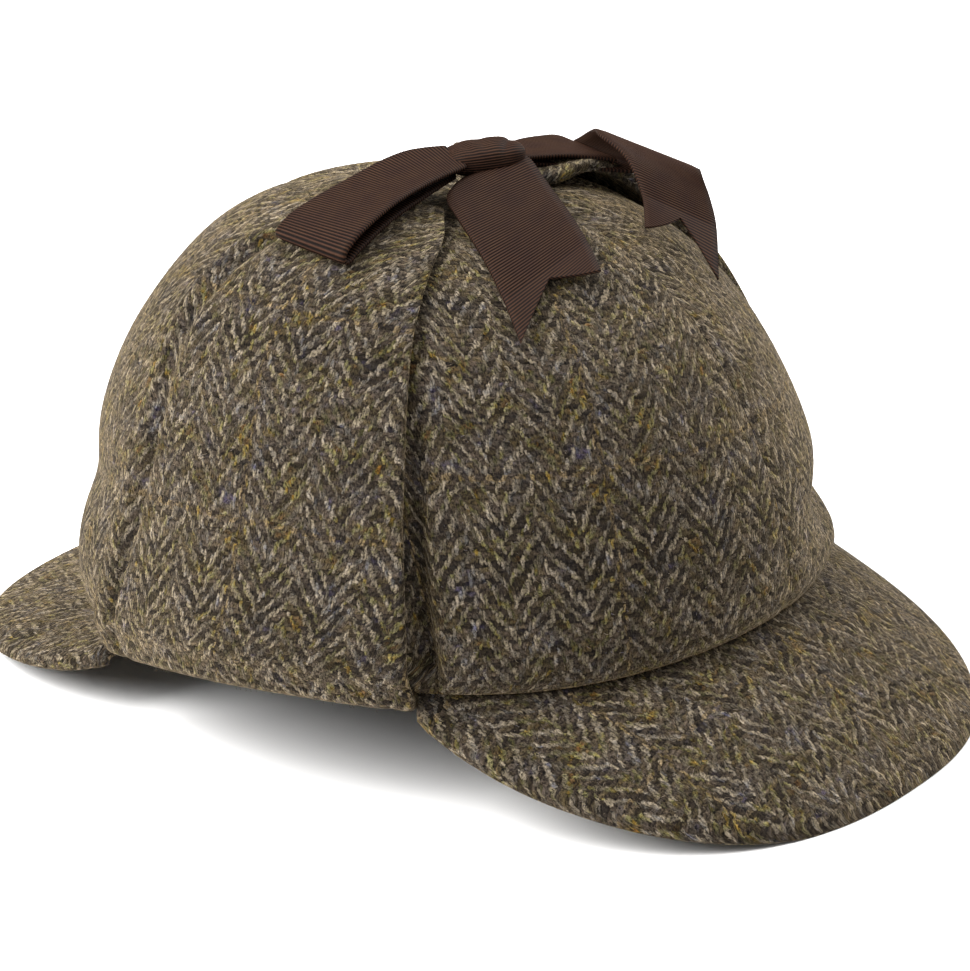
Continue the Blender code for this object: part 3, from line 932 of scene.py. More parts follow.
def nap_tree():
    sizes = (
        ("fibres_per_square_metre", "NodeSocketFloat"),
        ("fibre_length", "NodeSocketFloat"),
        ("fibre_radius", "NodeSocketFloat"),
        ("lean", "NodeSocketFloat"),
        ("seed", "NodeSocketInt"),
    )
    tree, given = new_tree("wool_nap", "cloth", sizes, "fibres")
    nap = add_node(
        tree, "GeometryNodeInputNamedAttribute", {"data_type": "FLOAT"}, {"Name": "nap"}
    )
    density = add_node(
        tree,
        "ShaderNodeMath",
        {"operation": "MULTIPLY"},
        {0: nap.outputs["Attribute"], 1: given["fibres_per_square_metre"]},
    )
    scattered = add_node(
        tree,
        "GeometryNodeDistributePointsOnFaces",
        inputs={"Mesh": given["cloth"], "Density": density.outputs[0], "Seed": given["seed"]},
    )
    size = add_node(
        tree,
        "FunctionNodeRandomValue",
        {"data_type": "FLOAT"},
        {2: FIBRE_SIZES[0], 3: FIBRE_SIZES[1], "Seed": given["seed"]},
    )
    placed = add_node(
        tree,
        "GeometryNodeInstanceOnPoints",
        inputs={
            "Points": scattered.outputs["Points"],
            "Instance": one_fibre(tree, given["fibre_length"], given["fibre_radius"]),
            "Rotation": fibre_turn(tree, scattered.outputs["Normal"], given["lean"], given["seed"]),
            "Scale": size.outputs[1],
        },
    )
    end_tree(tree, placed.outputs[0], given["finish"], "fibres")
    return tree


NAP = nap_tree()


def bow_free(points):
    """1 where fibres may grow, 0 where the bow lies on the cloth."""
    x, y, z = 1000 * np.moveaxis(points, -1, 0)
    under = (z > BOW_ABOVE) & (x > BOW_X[0]) & (x < BOW_X[1]) & (y > BOW_Y[0]) & (y < BOW_Y[1])
    return 1.0 - under


def grow_nap(cloth, density, seed):
    values = {
        "fibres_per_square_metre": density,
        "fibre_length": FIBRE_LONG,
        "fibre_radius": FIBRE_RADIUS,
        "lean": FIBRE_LEAN,
        "seed": seed,
        "finish": LOOSE_WOOL,
    }
    return realised(cloth.name + "_nap", cloth, NAP, values)


print("nodes in the nap's tree:", len(NAP.nodes))

# %% [markdown]
# ## The crown
# Six gores meet at the top. The cloth over them is soft, so it isn't quite the dome that the
# frame is. Each ear flap presses a valley into it along its front edge, deepest above the rim
# and gone towards the bow. Between the flaps it has sunk in or swelled out by a few millimetres,
# in broad dents. Both are bell curves that push a place in or out.

# %% Press the crown in
# The valley along a flap's front edge, by the rim angle of the right one; the left mirrors it.
VALLEY_ANGLE = 29.6
VALLEY_DEPTH = 0.0124
VALLEY_REACH = 0.0036
VALLEY_START = 0.008
VALLEY_TOP = 0.084
VALLEY_NARROWS = 0.5
DENTS = (
    # rim angle, climb, depth (a swelling's is negative), reach round the crown and up it
    (127.0, 0.023, 0.0048, 0.030, 0.0085),
    (127.0, 0.007, -0.0022, 0.030, 0.0065),
    (-49.0, 0.038, 0.0021, 0.030, 0.0080),
    (-53.0, 0.016, -0.0016, 0.028, 0.0120),
    (-55.0, 0.088, 0.0013, 0.040, 0.0300),
)


def valley(heading, share, climb):
    """How deep the flaps' front edges press one place of the crown in."""
    nearest = min(
        abs(math.remainder(heading - around(VALLEY_ANGLE), 2 * math.pi)),
        abs(math.remainder(heading - around(180 - VALLEY_ANGLE), 2 * math.pi)),
    )
    across = nearest * share * RIM_HALF_WIDTH
    upward = max(0.0, 1 - climb / VALLEY_TOP) * min(1.0, climb / VALLEY_START)
    reach = VALLEY_REACH * (1 - VALLEY_NARROWS * min(1.0, climb / VALLEY_TOP))
    return VALLEY_DEPTH * upward * math.exp(-((across / reach) ** 2))


def dented(heading, share, climb):
    """How far the dents press one place of the crown in."""
    found = 0.0
    for rim_angle, centre, depth, reach_round, reach_up in DENTS:
        off = math.remainder(heading - around(rim_angle), 2 * math.pi) * share * RIM_HALF_WIDTH
        found += depth * math.exp(-((off / reach_round) ** 2) - ((climb - centre) / reach_up) ** 2)
    return found


print("deepest in the valley:", round(1000 * valley(around(VALLEY_ANGLE), 1.0, VALLEY_START), 1), "mm")

# %% [markdown]
# Where two gores are sewn together, the seam pulls both edges in, so the crown has a shallow
# groove there that puckers a little, and between the seams the cloth is never quite even. The
# columns of the grid stand closer together at the seams and its rows at the rim, where the shape
# changes fastest.

# %% Sew the gores
SEAM_GAP = 0.00004
SEAM_DIP = 0.00045
SEAM_REACH = 0.0024
SEAM_PUCKER = 0.35
PUCKER_LENGTH = 0.004
CLOTH_WAVE = 0.00075
CLOTH_WAVE_LENGTH = 0.034
# The waves die away within these distances of a seam and of the rim.
CALM_AT_SEAM = 0.012
CALM_AT_RIM = 0.010
# Distances of the close columns from a seam and of the close rows from the rim.
SEAM_COLUMNS = (0, 0.0005, 0.001, 0.0016, 0.0024, 0.0034, 0.005)
RIM_ROWS = (0, 0.0006, 0.0013, 0.0022, 0.0034, 0.005)
GORE_COLUMN = 0.0022
GORE_FIRST_ROW = 0.007
GORE_ROWS = 72
# No fibres grow nearer to the meeting point than this share of the way to the rim.
NAP_SHARE = 0.12


def closer_at_ends(width, end_steps, step):
    """Fractions of a width, with given distances from both ends and even steps between."""
    last = end_steps[-1]
    inner = np.linspace(last, width - last, max(2, round((width - 2 * last) / step) + 1))
    left = np.array(end_steps[:-1])
    return np.concatenate([left, inner, width - left[::-1]]) / width


def gore(name, from_angle, to_angle, seed, covered):
    """`covered` is the range of rim angles that a flap lies over, where no nap is needed."""
    first = around(from_angle)
    last = first + (around(to_angle) - first) % (2 * math.pi)
    low, high = (around(c) for c in covered)
    top = float(np.interp(-TOP_HOLE, -SHARES, CLIMBS))
    climbs = np.concatenate([RIM_ROWS, np.linspace(GORE_FIRST_ROW, top, GORE_ROWS)])
    width = (last - first) * RIM_HALF_WIDTH
    columns = closer_at_ends(width, SEAM_COLUMNS, GORE_COLUMN)
    outer = np.zeros((len(climbs), len(columns), 3))
    inner = np.zeros_like(outer)
    nap = np.zeros(outer.shape[:2])
    for i, climb in enumerate(climbs):
        share = max(TOP_HOLE, share_at(climb))
        inset = SEAM_GAP / (share * RIM_HALF_WIDTH)
        for j, across in enumerate(columns):
            heading = first + inset + (last - first - 2 * inset) * across
            from_seam = min(across, 1 - across) * width * share
            plain = crown_point(heading, share, 0.0)
            dip = SEAM_DIP * (1 + SEAM_PUCKER * wave(plain, PUCKER_LENGTH, seed))
            dip *= math.exp(-((from_seam / SEAM_REACH) ** 2))
            ease = min(1.0, from_seam / CALM_AT_SEAM) * min(1.0, climb / CALM_AT_RIM)
            swell = ease * CLOTH_WAVE * wave(plain, CLOTH_WAVE_LENGTH, seed)
            swell -= valley(heading, share, climb) + dented(heading, share, climb)
            outer[i, j] = crown_point(heading, share, swell - dip)
            inner[i, j] = crown_point(heading, share, swell - CROWN_CLOTH)
            turn = (heading - low) % (2 * math.pi)
            nap[i, j] = float(share > NAP_SHARE and turn > (high - low) % (2 * math.pi))
    nap *= bow_free(outer)
    return wall(name, outer, inner, threads_of(outer), TWEED, {"nap": (nap, 0 * nap)}), outer


GORES = (
    # name, node, from and to rim angle, seed, rim angles under a flap
    ("gore_side_right", "crown_panel_side_right", -20.0, 26.0, 1, (-21.0, 27.0)),
    ("gore_front_right", "crown_panel_front_right", 26.0, 95.0, 2, (20.0, 27.5)),
    ("gore_front_left", "crown_panel_front_left", 95.0, 154.0, 3, (152.5, 160.0)),
    ("gore_side_left", "crown_panel_side_left", 154.0, 200.0, 4, (153.0, 201.0)),
    ("gore_back_left", "crown_panel_back_left", -160.0, -90.0, 5, (199.0, 202.0)),
    ("gore_back_right", "crown_panel_back_right", -90.0, -20.0, 6, (-22.0, -19.0)),
)
for name, node, *shape in GORES:
    keep(name, node, gore(name, *shape))

# %% [markdown]
# ## The peaks
# Each peak is a crescent of stiffener between two layers of tweed, sewn under the rim. It bulges
# a little on its way down to the table, and its edge, where the layers are turned in, is round.
# The crescent is worked out as columns from the edge up to the rim. Its outline is a
# superellipse, a circle whose power isn't two, so one number sets how square its shoulders are
# and another how fast its edge climbs to the hat's sides.

# %% Shape the peaks
REACH = 0.1466
PEAK_INSET = 0.0035
PEAK_CLOTH = 0.0034
PEAK_BULGE = 0.0024
PEAK_EDGE_TOP = 0.0024
PEAK_CLEARANCE = 0.0004
PEAK_CORNER_DROP = 0.0045
PEAK_STEEPEST = 0.6
PEAK_EDGE_LIFT = 0.0005
PEAK_COLUMNS = 193
PEAK_ROWS = 26
PEAK_WAVE = 0.00035
PEAK_WAVE_LENGTH = 0.022
PEAK_CALM_AT_EDGE = 0.006
# The last rows, next to the crown, get no fibres.
PEAK_BARE_ROWS = 3
# Fibres that grow lower than this would reach through the table.
NAP_CLEAR = 0.0045
PEAK_EDGE = (
    # in_from_edge, off_the_top, off_the_underside
    (0.0, 0.0010, 0.0010),
    (0.0002, 0.00065, 0.0006),
    (0.0007, 0.0003, 0.0002),
    (0.0012, 0.00012, -0.0002),
    (0.0018, 0.0, -0.0005),
    (0.0034, 0.0, -0.0012),
)


def peak(name, side, corner, flare, power, edge_power, seed):
    """`side` is 1 for the front peak and -1 for the back one."""
    angles = np.radians(np.linspace(side * corner, side * (180 - corner), PEAK_COLUMNS))
    corner_angle = math.radians(side * corner)
    half_width = (RIM_HALF_WIDTH + flare) * math.cos(corner_angle)
    corner_reach = (RIM_HALF_LENGTH + flare) * abs(math.sin(corner_angle))
    corner_height = rim_height(corner_angle) - PEAK_CORNER_DROP
    insets_at_edge = [row[0] for row in PEAK_EDGE]
    rows = len(PEAK_EDGE) + PEAK_ROWS
    top = np.zeros((PEAK_COLUMNS, rows, 3))
    threads = np.zeros((PEAK_COLUMNS, rows, 2))
    for i, angle in enumerate(angles):
        sweep = math.pi * i / (PEAK_COLUMNS - 1)
        c, s = math.cos(sweep), max(0.0, math.sin(sweep))
        rim = np.array(
            [
                -(RIM_HALF_WIDTH - PEAK_INSET) * math.cos(angle),
                -(RIM_HALF_LENGTH - PEAK_INSET) * math.sin(angle),
                rim_height(angle) - PEAK_CLEARANCE,
            ]
        )
        out = corner_reach + (REACH - corner_reach) * s ** (2 / power)
        edge = np.array(
            [
                -half_width * math.copysign(abs(c) ** (2 / power), c),
                -side * out,
                corner_height * (1 - s**edge_power) + PEAK_EDGE_TOP,
            ]
        )
        width = np.linalg.norm(edge - rim)
        plan = (edge - rim)[:2] / max(1e-6, np.linalg.norm((edge - rim)[:2]))
        more = np.linspace(0, width - insets_at_edge[-1], PEAK_ROWS + 1)[1:]
        for j, inset in enumerate(insets_at_edge + list(more + insets_at_edge[-1])):
            t = min(1.0, inset / width)
            spot = edge + (rim - edge) * t
            uneven = PEAK_WAVE * wave(spot, PEAK_WAVE_LENGTH, seed)
            uneven *= min(1.0, inset / PEAK_CALM_AT_EDGE)
            top[i, j] = spot + np.array([0, 0, PEAK_BULGE * 4 * t * (1 - t) * s + uneven])
            threads[i, j] = 1000 * (rim[:2] + plan * (width - inset))
    slope = np.abs(normals_of(top)[:, :, 2])
    under = top - np.array([0, 0, 1]) * (PEAK_CLOTH / np.maximum(slope, PEAK_STEEPEST))[:, :, None]
    for row, (_, off_top, off_under) in enumerate(PEAK_EDGE):
        top[:, row, 2] -= off_top
        under[:, row, 2] += off_under
    under[:, :, 2] = np.maximum(under[:, :, 2], 0.0)
    under[:, 0, 2] = np.maximum(under[:, 0, 2], PEAK_EDGE_LIFT)
    nap = (top[:, :, 2] > NAP_CLEAR).astype(float)
    nap[:, -PEAK_BARE_ROWS:] = 0.0
    return wall(name, top, under, threads, TWEED, {"nap": (nap, 0 * nap)}), top


PEAKS = (
    # name, node, side, corner angle, flare, power of the outline and of the edge's climb, seed
    ("peak_front", "front_peak", 1, 28.4, 0.0030, 2.42, 0.57, 11),
    ("peak_back", "back_peak", -1, 35.6, 0.0050, 2.23, 0.47, 12),
)
for name, node, *shape in PEAKS:
    keep(name, node, peak(name, *shape))

# %% [markdown]
# ## The ear flaps
# A flap hangs from the side of the rim. Here it is folded up along the rim and lies against the
# crown, with its end under the bow. It is two layers of tweed sewn face to face, turned and
# pressed. The pressing leaves a crease inside the rear edge, and a row of stitches pulls in a
# fine groove 6 mm inside the front one. At the bow the right flap's front edge is drawn down
# thin, and the left flap's end stands up off the crown.
# A short table gives the flap's section round the rim, and another its two edges at each height
# up the crown. A spline draws the curve through the rows of both.

# %% Lay the flaps against the crown
FLAP_CLOTH = 0.0032
FLAP_TOP_SHARE = 0.13
FLAP_FOLD = (
    # outer_out, outer_up, inner_out, inner_up, from the rim
    (-0.0024, -0.0038, -0.0024, -0.0005),
    (0.0006, -0.0045, -0.0004, -0.0005),
    (0.0036, -0.0036, 0.0010, -0.0003),
    (0.0056, -0.0014, 0.0022, 0.0008),
)
FLAP_ROWS = (
    # up the crown (mm), rim angle of the front edge, of the rear edge, stand-off of the front edge,
    # of the middle and of the rear edge (mm)
    (3.0, 28.1, -33.4, 1.6, 1.0, 1.4),
    (6.0, 28.1, -32.2, 2.0, 1.0, 1.6),
    (11.0, 28.3, -30.2, 2.4, 1.0, 1.8),
    (20.0, 28.6, -26.9, 2.6, 1.0, 1.8),
    (32.0, 28.7, -24.0, 2.6, 1.0, 1.6),
    (46.0, 28.6, -22.5, 2.2, 1.0, 1.4),
    (62.0, 28.7, -22.8, 1.6, 0.9, 1.2),
    (78.0, 28.5, -25.4, 1.2, 0.8, 1.0),
    (94.0, 28.2, -27.1, 1.0, 0.8, 0.9),
    (108.0, 28.4, -28.2, 0.8, 0.8, 0.8),
    (120.0, 28.8, -26.5, 0.8, 0.8, 0.8),
    (132.0, 28.0, -22.0, 0.8, 0.8, 0.8),
    (146.0, 18.0, -16.0, 0.8, 0.8, 0.8),
)
FLAP_STEPS = 6
# The widths that the columns are laid out for: the flap, the close ones at its edges, the rest.
FLAP_WIDTH = 0.100
FLAP_EDGE_COLUMNS = (0, 0.0003, 0.0008, 0.0014, 0.002, *np.arange(0.0026, 0.017, 0.0006))
FLAP_COLUMN = 0.002
# A flap whose end is pushed up by the ribbon stands off most this far up the crown (mm).
LIFT_CLIMB = 115.0
LIFT_REACH = 11.0
# Its rear stays down: the lift begins and is full at these fractions of the way to the front.
LIFT_ACROSS = (0.2, 0.55)


def spline(rows, steps):
    """A smooth run of values through the rows of a table, with steps between each two."""
    rows = np.array(rows)
    padded = np.concatenate([[2 * rows[0] - rows[1]], rows, [2 * rows[-1] - rows[-2]]])
    found = []
    for before, here, after, beyond in zip(padded, padded[1:], padded[2:], padded[3:]):
        for step in range(steps):
            t = step / steps
            found.append(
                here
                + (after - before) * t / 2
                + (2 * before - 5 * here + 4 * after - beyond) * t**2 / 2
                + (3 * here - before - 3 * after + beyond) * t**3 / 2
            )
    found.append(rows[-1])
    return np.array(found)


def flap_faces(columns, lifted, drawn_back):
    """The middle of the flap's thickness and half of that thickness, as two grids of points."""
    table = np.array(FLAP_ROWS)
    at_end = np.exp(-(((table[:, 0] - LIFT_CLIMB) / LIFT_REACH) ** 2))
    table[:, 1] -= drawn_back * at_end
    lifts = lifted * at_end
    middle = np.zeros((len(FLAP_FOLD) + len(table), len(columns), 3))
    half = np.zeros_like(middle)
    for j, across in enumerate(columns):
        near_edge = (1 - 2 * across) ** 4
        heading = around(table[0, 2] + (table[0, 1] - table[0, 2]) * across)
        rim = crown_point(heading, 1.0, 0.0)
        out = np.array([-math.cos(heading), -math.sin(heading), 0.0])
        for i, (out_a, up_a, out_b, up_b) in enumerate(FLAP_FOLD):
            outside = rim + out * out_a + np.array([0, 0, up_a])
            inside = rim + out * out_b + np.array([0, 0, up_b])
            middle[i, j] = (outside + inside) / 2
            half[i, j] = (outside - inside) / 2
        front_half = float(np.interp(across, LIFT_ACROSS, (0, 1)))
        for i, (row, lift) in enumerate(zip(table, lifts), len(FLAP_FOLD)):
            climb, front, rear, off_front, off_middle, off_rear = row
            heading = around(rear + (front - rear) * across)
            side = off_front if across > 0.5 else off_rear
            stand = (off_middle + (side - off_middle) * near_edge + lift * front_half) / 1000
            share = max(share_at(climb / 1000), FLAP_TOP_SHARE)
            outside = crown_point(heading, share, stand + FLAP_CLOTH)
            inside = crown_point(heading, share, stand)
            middle[i, j] = (outside + inside) / 2
            half[i, j] = (outside - inside) / 2
    shape = (-1, len(columns), 3)
    flat = len(columns) * 3
    middle = spline(middle.reshape(-1, flat), FLAP_STEPS).reshape(shape)
    half = spline(half.reshape(-1, flat), FLAP_STEPS).reshape(shape)
    return middle, half


print("rows of the flap's tables:", len(FLAP_FOLD), "and", len(FLAP_ROWS))

# %% [markdown]
# Now the flap gets its thickness, which thins to a rounded edge, and its crease and stitches are
# pressed into its outer face.

# %% Fold up the flaps
FLAP_EDGE_ROUND = 0.0017
# The pressed crease inside the rear edge and the row of stitches inside the front one: distance
# from the edge, depth and width.
REAR_CREASE = (0.0088, 0.0021, 0.0026)
FRONT_STITCHES = (0.0060, 0.0003, 0.0014)
# The crease runs further in towards the rim: by this share, over this many rows of the grid.
CREASE_SPREAD = 0.32
CREASE_ROWS = 56
FLAP_WAVE = 0.00045
FLAP_WAVE_LENGTH = 0.026
FLAP_CALM_ROWS = 20
CREASE_WAVE = 0.5
CREASE_WAVE_LENGTH = 0.006
# The share of its thickness that a flap keeps at its very edge.
EDGE_SHARE = 0.25
# Towards the bow a front edge may be pulled down thin: this far in, over these rows.
THIN_REACH = 0.007
THIN_ROWS = (52, 80)
# The rows that lie under the rim get no fibres.
FLAP_BARE_ROWS = 8


def ear_flap(name, mirrored, lifted, drawn_back, thinned, seed):
    columns = closer_at_ends(FLAP_WIDTH, FLAP_EDGE_COLUMNS, FLAP_COLUMN)
    middle, half = flap_faces(columns, lifted, drawn_back)
    outer = np.zeros_like(middle)
    inner = np.zeros_like(middle)
    widths = np.linalg.norm(np.diff(middle, axis=1), axis=2).sum(axis=1)
    away = half / np.linalg.norm(half, axis=2, keepdims=True)
    for i, width in enumerate(widths):
        for j, across in enumerate(columns):
            from_edge = min(across, 1 - across) * width
            round_off = 1 - min(1.0, from_edge / FLAP_EDGE_ROUND)
            full = EDGE_SHARE + (1 - EDGE_SHARE) * math.sqrt(1 - round_off**2)
            spot = middle[i, j]
            inside, depth, reach = FRONT_STITCHES if across > 0.5 else REAR_CREASE
            inside *= 1 + CREASE_SPREAD * max(0.0, 1 - i / CREASE_ROWS) * (across < 0.5)
            groove = depth * math.exp(-(((from_edge - inside) / reach) ** 2))
            groove *= 1 + CREASE_WAVE * wave(spot, CREASE_WAVE_LENGTH, seed)
            uneven = FLAP_WAVE * wave(spot, FLAP_WAVE_LENGTH, seed) * min(1.0, i / FLAP_CALM_ROWS)
            pulled = float(np.interp(i, THIN_ROWS, (0, thinned))) * (across > 0.5)
            left = 1 - pulled * math.exp(-((from_edge / THIN_REACH) ** 2))
            outer[i, j] = spot + half[i, j] * full * left + away[i, j] * (uneven - groove)
            inner[i, j] = spot - half[i, j] * full
    if mirrored:
        outer = outer[:, ::-1] * np.array([-1, 1, 1])
        inner = inner[:, ::-1] * np.array([-1, 1, 1])
    nap = bow_free(outer)
    nap[:FLAP_BARE_ROWS] = 0.0
    return wall(name, outer, inner, threads_of(outer), TWEED, {"nap": (nap, 0 * nap)}), outer


FLAPS = (
    # name, node, mirrored, its end lifted (mm) and drawn back from the front (degrees), the share
    # by which its front edge is thinned at the bow, seed
    ("flap_right", "ear_flap_right", False, 0.0, 0.0, 0.8, 21),
    ("flap_left", "ear_flap_left", True, 3.4, 7.0, 0.0, 22),
)
for name, node, *how in FLAPS:
    keep(name, node, ear_flap(name, *how))

# %% [markdown]
# ## The ribbon
# The bow is one length of 25.5 mm ribbon: two flat loops and two loose ends, each cut to a V.
# Its ribs are real: a small Geometry Nodes tree raises the surface once for every rib, along its
# own normal, by the distance along the ribbon. Two named values of each point drive it: `run_mm`
# is that distance, and `rib_share` is less than 1 where the ribs are lower. Rows of points a
# sixth of a rib apart are enough to keep the ribs round.

# %% The rib tree
RIB_HEIGHT = 0.00028
RIBBON_CLOTH = 0.0008
RIBBON_WIDTH_MM = 25.5


def rib_tree():
    sizes = (("rib_pitch_mm", "NodeSocketFloat"), ("rib_height", "NodeSocketFloat"))
    tree, given = new_tree("ribbon_ribs", "strip", sizes, "ribbed")
    known = {"pitch": given["rib_pitch_mm"], "height": given["rib_height"]}
    for name in ("run_mm", "rib_share"):
        mark = add_node(
            tree, "GeometryNodeInputNamedAttribute", {"data_type": "FLOAT"}, {"Name": name}
        )
        known[name] = mark.outputs["Attribute"]
    got = work_out(
        tree,
        (
            ("ribs", "DIVIDE", "run_mm", "pitch"),
            ("turn", "MULTIPLY", "ribs", math.pi),
            ("sine", "SINE", "turn"),
            ("round", "ABSOLUTE", "sine"),
            ("full", "MULTIPLY", "round", "height"),
            ("raised", "MULTIPLY", "full", "rib_share"),
        ),
        known,
    )
    normal = add_node(tree, "GeometryNodeInputNormal").outputs[0]
    offset = scaled(tree, normal, got["raised"])
    moved = add_node(
        tree,
        "GeometryNodeSetPosition",
        inputs={"Geometry": given["strip"], "Offset": offset},
    )
    end_tree(tree, moved.outputs[0], given["finish"], "ribbed")
    return tree


RIBS = rib_tree()


def ribbed(name, plain):
    """The ribbed piece that takes the place of a plain one."""
    values = {"rib_pitch_mm": RIB_MM, "rib_height": RIB_HEIGHT, "finish": RIBBON_FINISH}
    made = realised(name, plain, RIBS, values)
    bpy.data.objects.remove(plain)
    return made


print("nodes in the ribs' tree:", len(RIBS.nodes))

# %% [markdown]
# ### The strips
# Each strip is a table of its two edges in millimetres, from the knot outwards: the edge nearer
# to the camera and the one further off. Between them the cloth is straight, and a spline draws
# both edges through the rows. A loop goes out and comes back under itself in one strip. The
# strips start just inside the knot, so they come out from under it with no gap.

# %% The edges of the loops
LOOP_RIGHT = (
    # near_x, near_y, near_z, far_x, far_y, far_z
    (3.0, -10.5, 144.8, 7.0, -2.0, 147.6),
    (-12.0, -10.7, 145.3, -5.0, 7.6, 147.2),
    (-30.4, -11.9, 144.8, -22.0, 13.8, 143.0),
    (-44.0, -11.7, 141.4, -39.0, 15.2, 140.4),
    (-50.6, -11.3, 138.0, -46.0, 15.2, 138.2),
    (-52.4, -11.1, 135.6, -47.9, 15.1, 136.7),
    (-50.6, -10.9, 133.9, -46.2, 14.8, 135.5),
    (-44.0, -10.5, 136.1, -39.5, 14.2, 137.6),
    (-30.0, -9.2, 139.2, -24.0, 12.0, 139.9),
    (-14.0, -8.0, 140.8, -8.0, 7.0, 141.2),
    (0.0, -6.5, 141.6, 4.0, 0.0, 141.8),
)
LOOP_LEFT = (
    (14.0, -12.5, 143.4, 11.0, -2.0, 144.6),
    (23.0, -14.0, 141.6, 25.0, 0.0, 141.2),
    (33.0, -18.2, 139.9, 38.0, 1.4, 139.8),
    (41.6, -22.4, 137.4, 47.5, -0.2, 138.5),
    (45.0, -24.2, 136.3, 50.6, -1.2, 137.8),
    (45.8, -24.6, 135.7, 51.6, -1.8, 137.0),
    (44.0, -22.4, 135.3, 49.6, -1.4, 136.4),
    (36.0, -16.6, 137.7, 41.0, 0.0, 138.4),
    (24.0, -11.0, 140.2, 25.0, -1.0, 140.9),
    (14.0, -9.0, 141.6, 13.0, -2.0, 142.0),
)
print("rows of the loops:", len(LOOP_RIGHT), "and", len(LOOP_LEFT))

# %% The edges of the tails
TAIL_FRONT = (
    (0.0, -8.0, 140.6, 13.0, -9.0, 142.2),
    (-6.0, -10.4, 141.2, 15.8, -14.0, 144.0),
    (-12.4, -13.0, 140.0, 16.2, -18.4, 143.8),
    (-18.0, -21.0, 137.6, 11.2, -27.4, 140.4),
    (-26.5, -35.0, 132.4, 3.4, -40.0, 137.0),
    (-35.0, -48.0, 125.6, -4.0, -51.5, 132.8),
    (-42.5, -58.7, 118.4, -10.4, -60.6, 128.3),
)
TAIL_LEFT = (
    (14.0, -11.0, 140.4, 15.0, -3.0, 140.5),
    (25.0, -14.0, 139.0, 27.0, -2.0, 139.4),
    (38.0, -21.0, 135.4, 40.0, -3.0, 137.2),
    (48.5, -27.6, 132.6, 49.6, -5.4, 136.6),
    (54.0, -33.4, 132.0, 49.4, -9.2, 138.6),
    (54.2, -41.2, 133.2, 47.8, -14.4, 141.8),
    (49.6, -48.4, 136.0, 44.2, -19.6, 144.2),
    (45.0, -53.0, 137.0, 38.8, -24.6, 145.2),
    (41.8, -57.6, 132.2, 31.0, -39.0, 143.4),
    (34.5, -64.8, 126.8, 24.0, -49.0, 136.4),
    (20.6, -75.0, 118.8, 17.8, -54.1, 130.4),
)
print("rows of the tails:", len(TAIL_FRONT), "and", len(TAIL_LEFT))

# %% [markdown]
# The rows of a strip's grid lie straight across the ribbon, as its ribs do, until just before
# the V of a cut end, where they slant towards its two points. Slanting rows would cut the ribs
# into steps, so the ribs fade out there. They are also hardly raised along the ribbon's two
# edges, where the weft turns back.

# %% Lay the strips
KNOT_CENTRE = np.array([0.0099, -0.0084, 0.1448])
KNOT_HALF = np.array([0.0105, 0.0072, 0.0038])
KNOT_TURN = math.radians(-35.0)
KNOT_POWER = 2.9
KNOT_TUCK = 0.0012
STRIP_STEPS = 24
STRIP_SEARCH = 0.0002
STRIP_COLUMNS = 13
ROWS_PER_RIB = 6
# How far before the V the rows begin to slant, and over what length the ribs fade out.
END_ROWS = 0.002
RIB_FADE = 0.0015
SELVEDGE_SHARE = 0.25


def inside_knot(point):
    """Below 1 inside the knot, less a little, so that the strips reach into it."""
    x, y, z = np.array(point) - KNOT_CENTRE
    c, s = math.cos(KNOT_TURN), math.sin(KNOT_TURN)
    own = np.array([x * c + y * s, y * c - x * s, z])
    return float((np.abs(own / (KNOT_HALF - KNOT_TUCK)) ** KNOT_POWER).sum())


def strip(name, table, notch):
    """A strip between two edges, `notch` the share of its length that the V in its end takes."""
    smooth = spline(table, STRIP_STEPS) / 1000
    centre = (smooth[:, :3] + smooth[:, 3:]) / 2
    run = np.concatenate([[0.0], np.cumsum(np.linalg.norm(np.diff(centre, axis=0), axis=1))])
    start = 0.0
    while inside_knot([np.interp(start, run, centre[:, k]) for k in range(3)]) < 1:
        start += STRIP_SEARCH
    length = run[-1] - start
    across = np.linspace(0, 1, STRIP_COLUMNS)
    even = length * (1 - notch) - END_ROWS * (notch > 0)
    straight = np.linspace(0, even, int(even * 1000 / RIB_MM * ROWS_PER_RIB))
    rest = length * (1 - notch * (1 - np.abs(2 * across - 1))) - even
    steps = np.linspace(0, 1, int((length - even) * 1000 / RIB_MM * ROWS_PER_RIB) + 1)[1:]
    places = start + np.concatenate(
        [straight[:, None] + 0 * rest, even + steps[:, None] * rest[None, :]]
    )
    edges = np.stack([np.interp(places, run, smooth[:, k]) for k in range(6)], axis=2)
    grid = edges[:, :, :3] * (1 - across)[None, :, None] + edges[:, :, 3:] * across[None, :, None]
    threads = np.stack([RIBBON_WIDTH_MM * across[None, :] + 0 * places, 1000 * places], axis=2)
    lift = normals_of(grid) * RIBBON_CLOTH / 2
    ribs = np.clip((start + even - places) / RIB_FADE, 0, 1)
    ribs[: len(straight)] = np.maximum(ribs[: len(straight)], notch == 0)
    ribs[:, [0, -1]] *= SELVEDGE_SHARE
    marks = {"run_mm": (1000 * places, 1000 * places), "rib_share": (ribs, ribs)}
    plain = wall(name + "_plain", grid + lift, grid - lift, threads, RIBBON_FINISH, marks)
    return ribbed(name, plain), grid


STRIPS = (
    # name, node, table of its edges, share of the V in its end
    ("bow_loop_right", "ribbon_loop_right", LOOP_RIGHT, 0.0),
    ("bow_loop_left", "ribbon_loop_left", LOOP_LEFT, 0.0),
    ("bow_tail_front", "ribbon_tail_front", TAIL_FRONT, 0.16),
    ("bow_tail_left", "ribbon_tail_left", TAIL_LEFT, 0.12),
)
for name, node, table, notch in STRIPS:
    keep(name, node, strip(name, table, notch))

# %% [markdown]
# ### The knot
# The knot is a short turn of ribbon pulled tight round the bow's middle. It is made as a rounded
# box, a ball whose power isn't two, with three folds pressed into its top. Its ribs run round it,
# by the angle round its long axis.

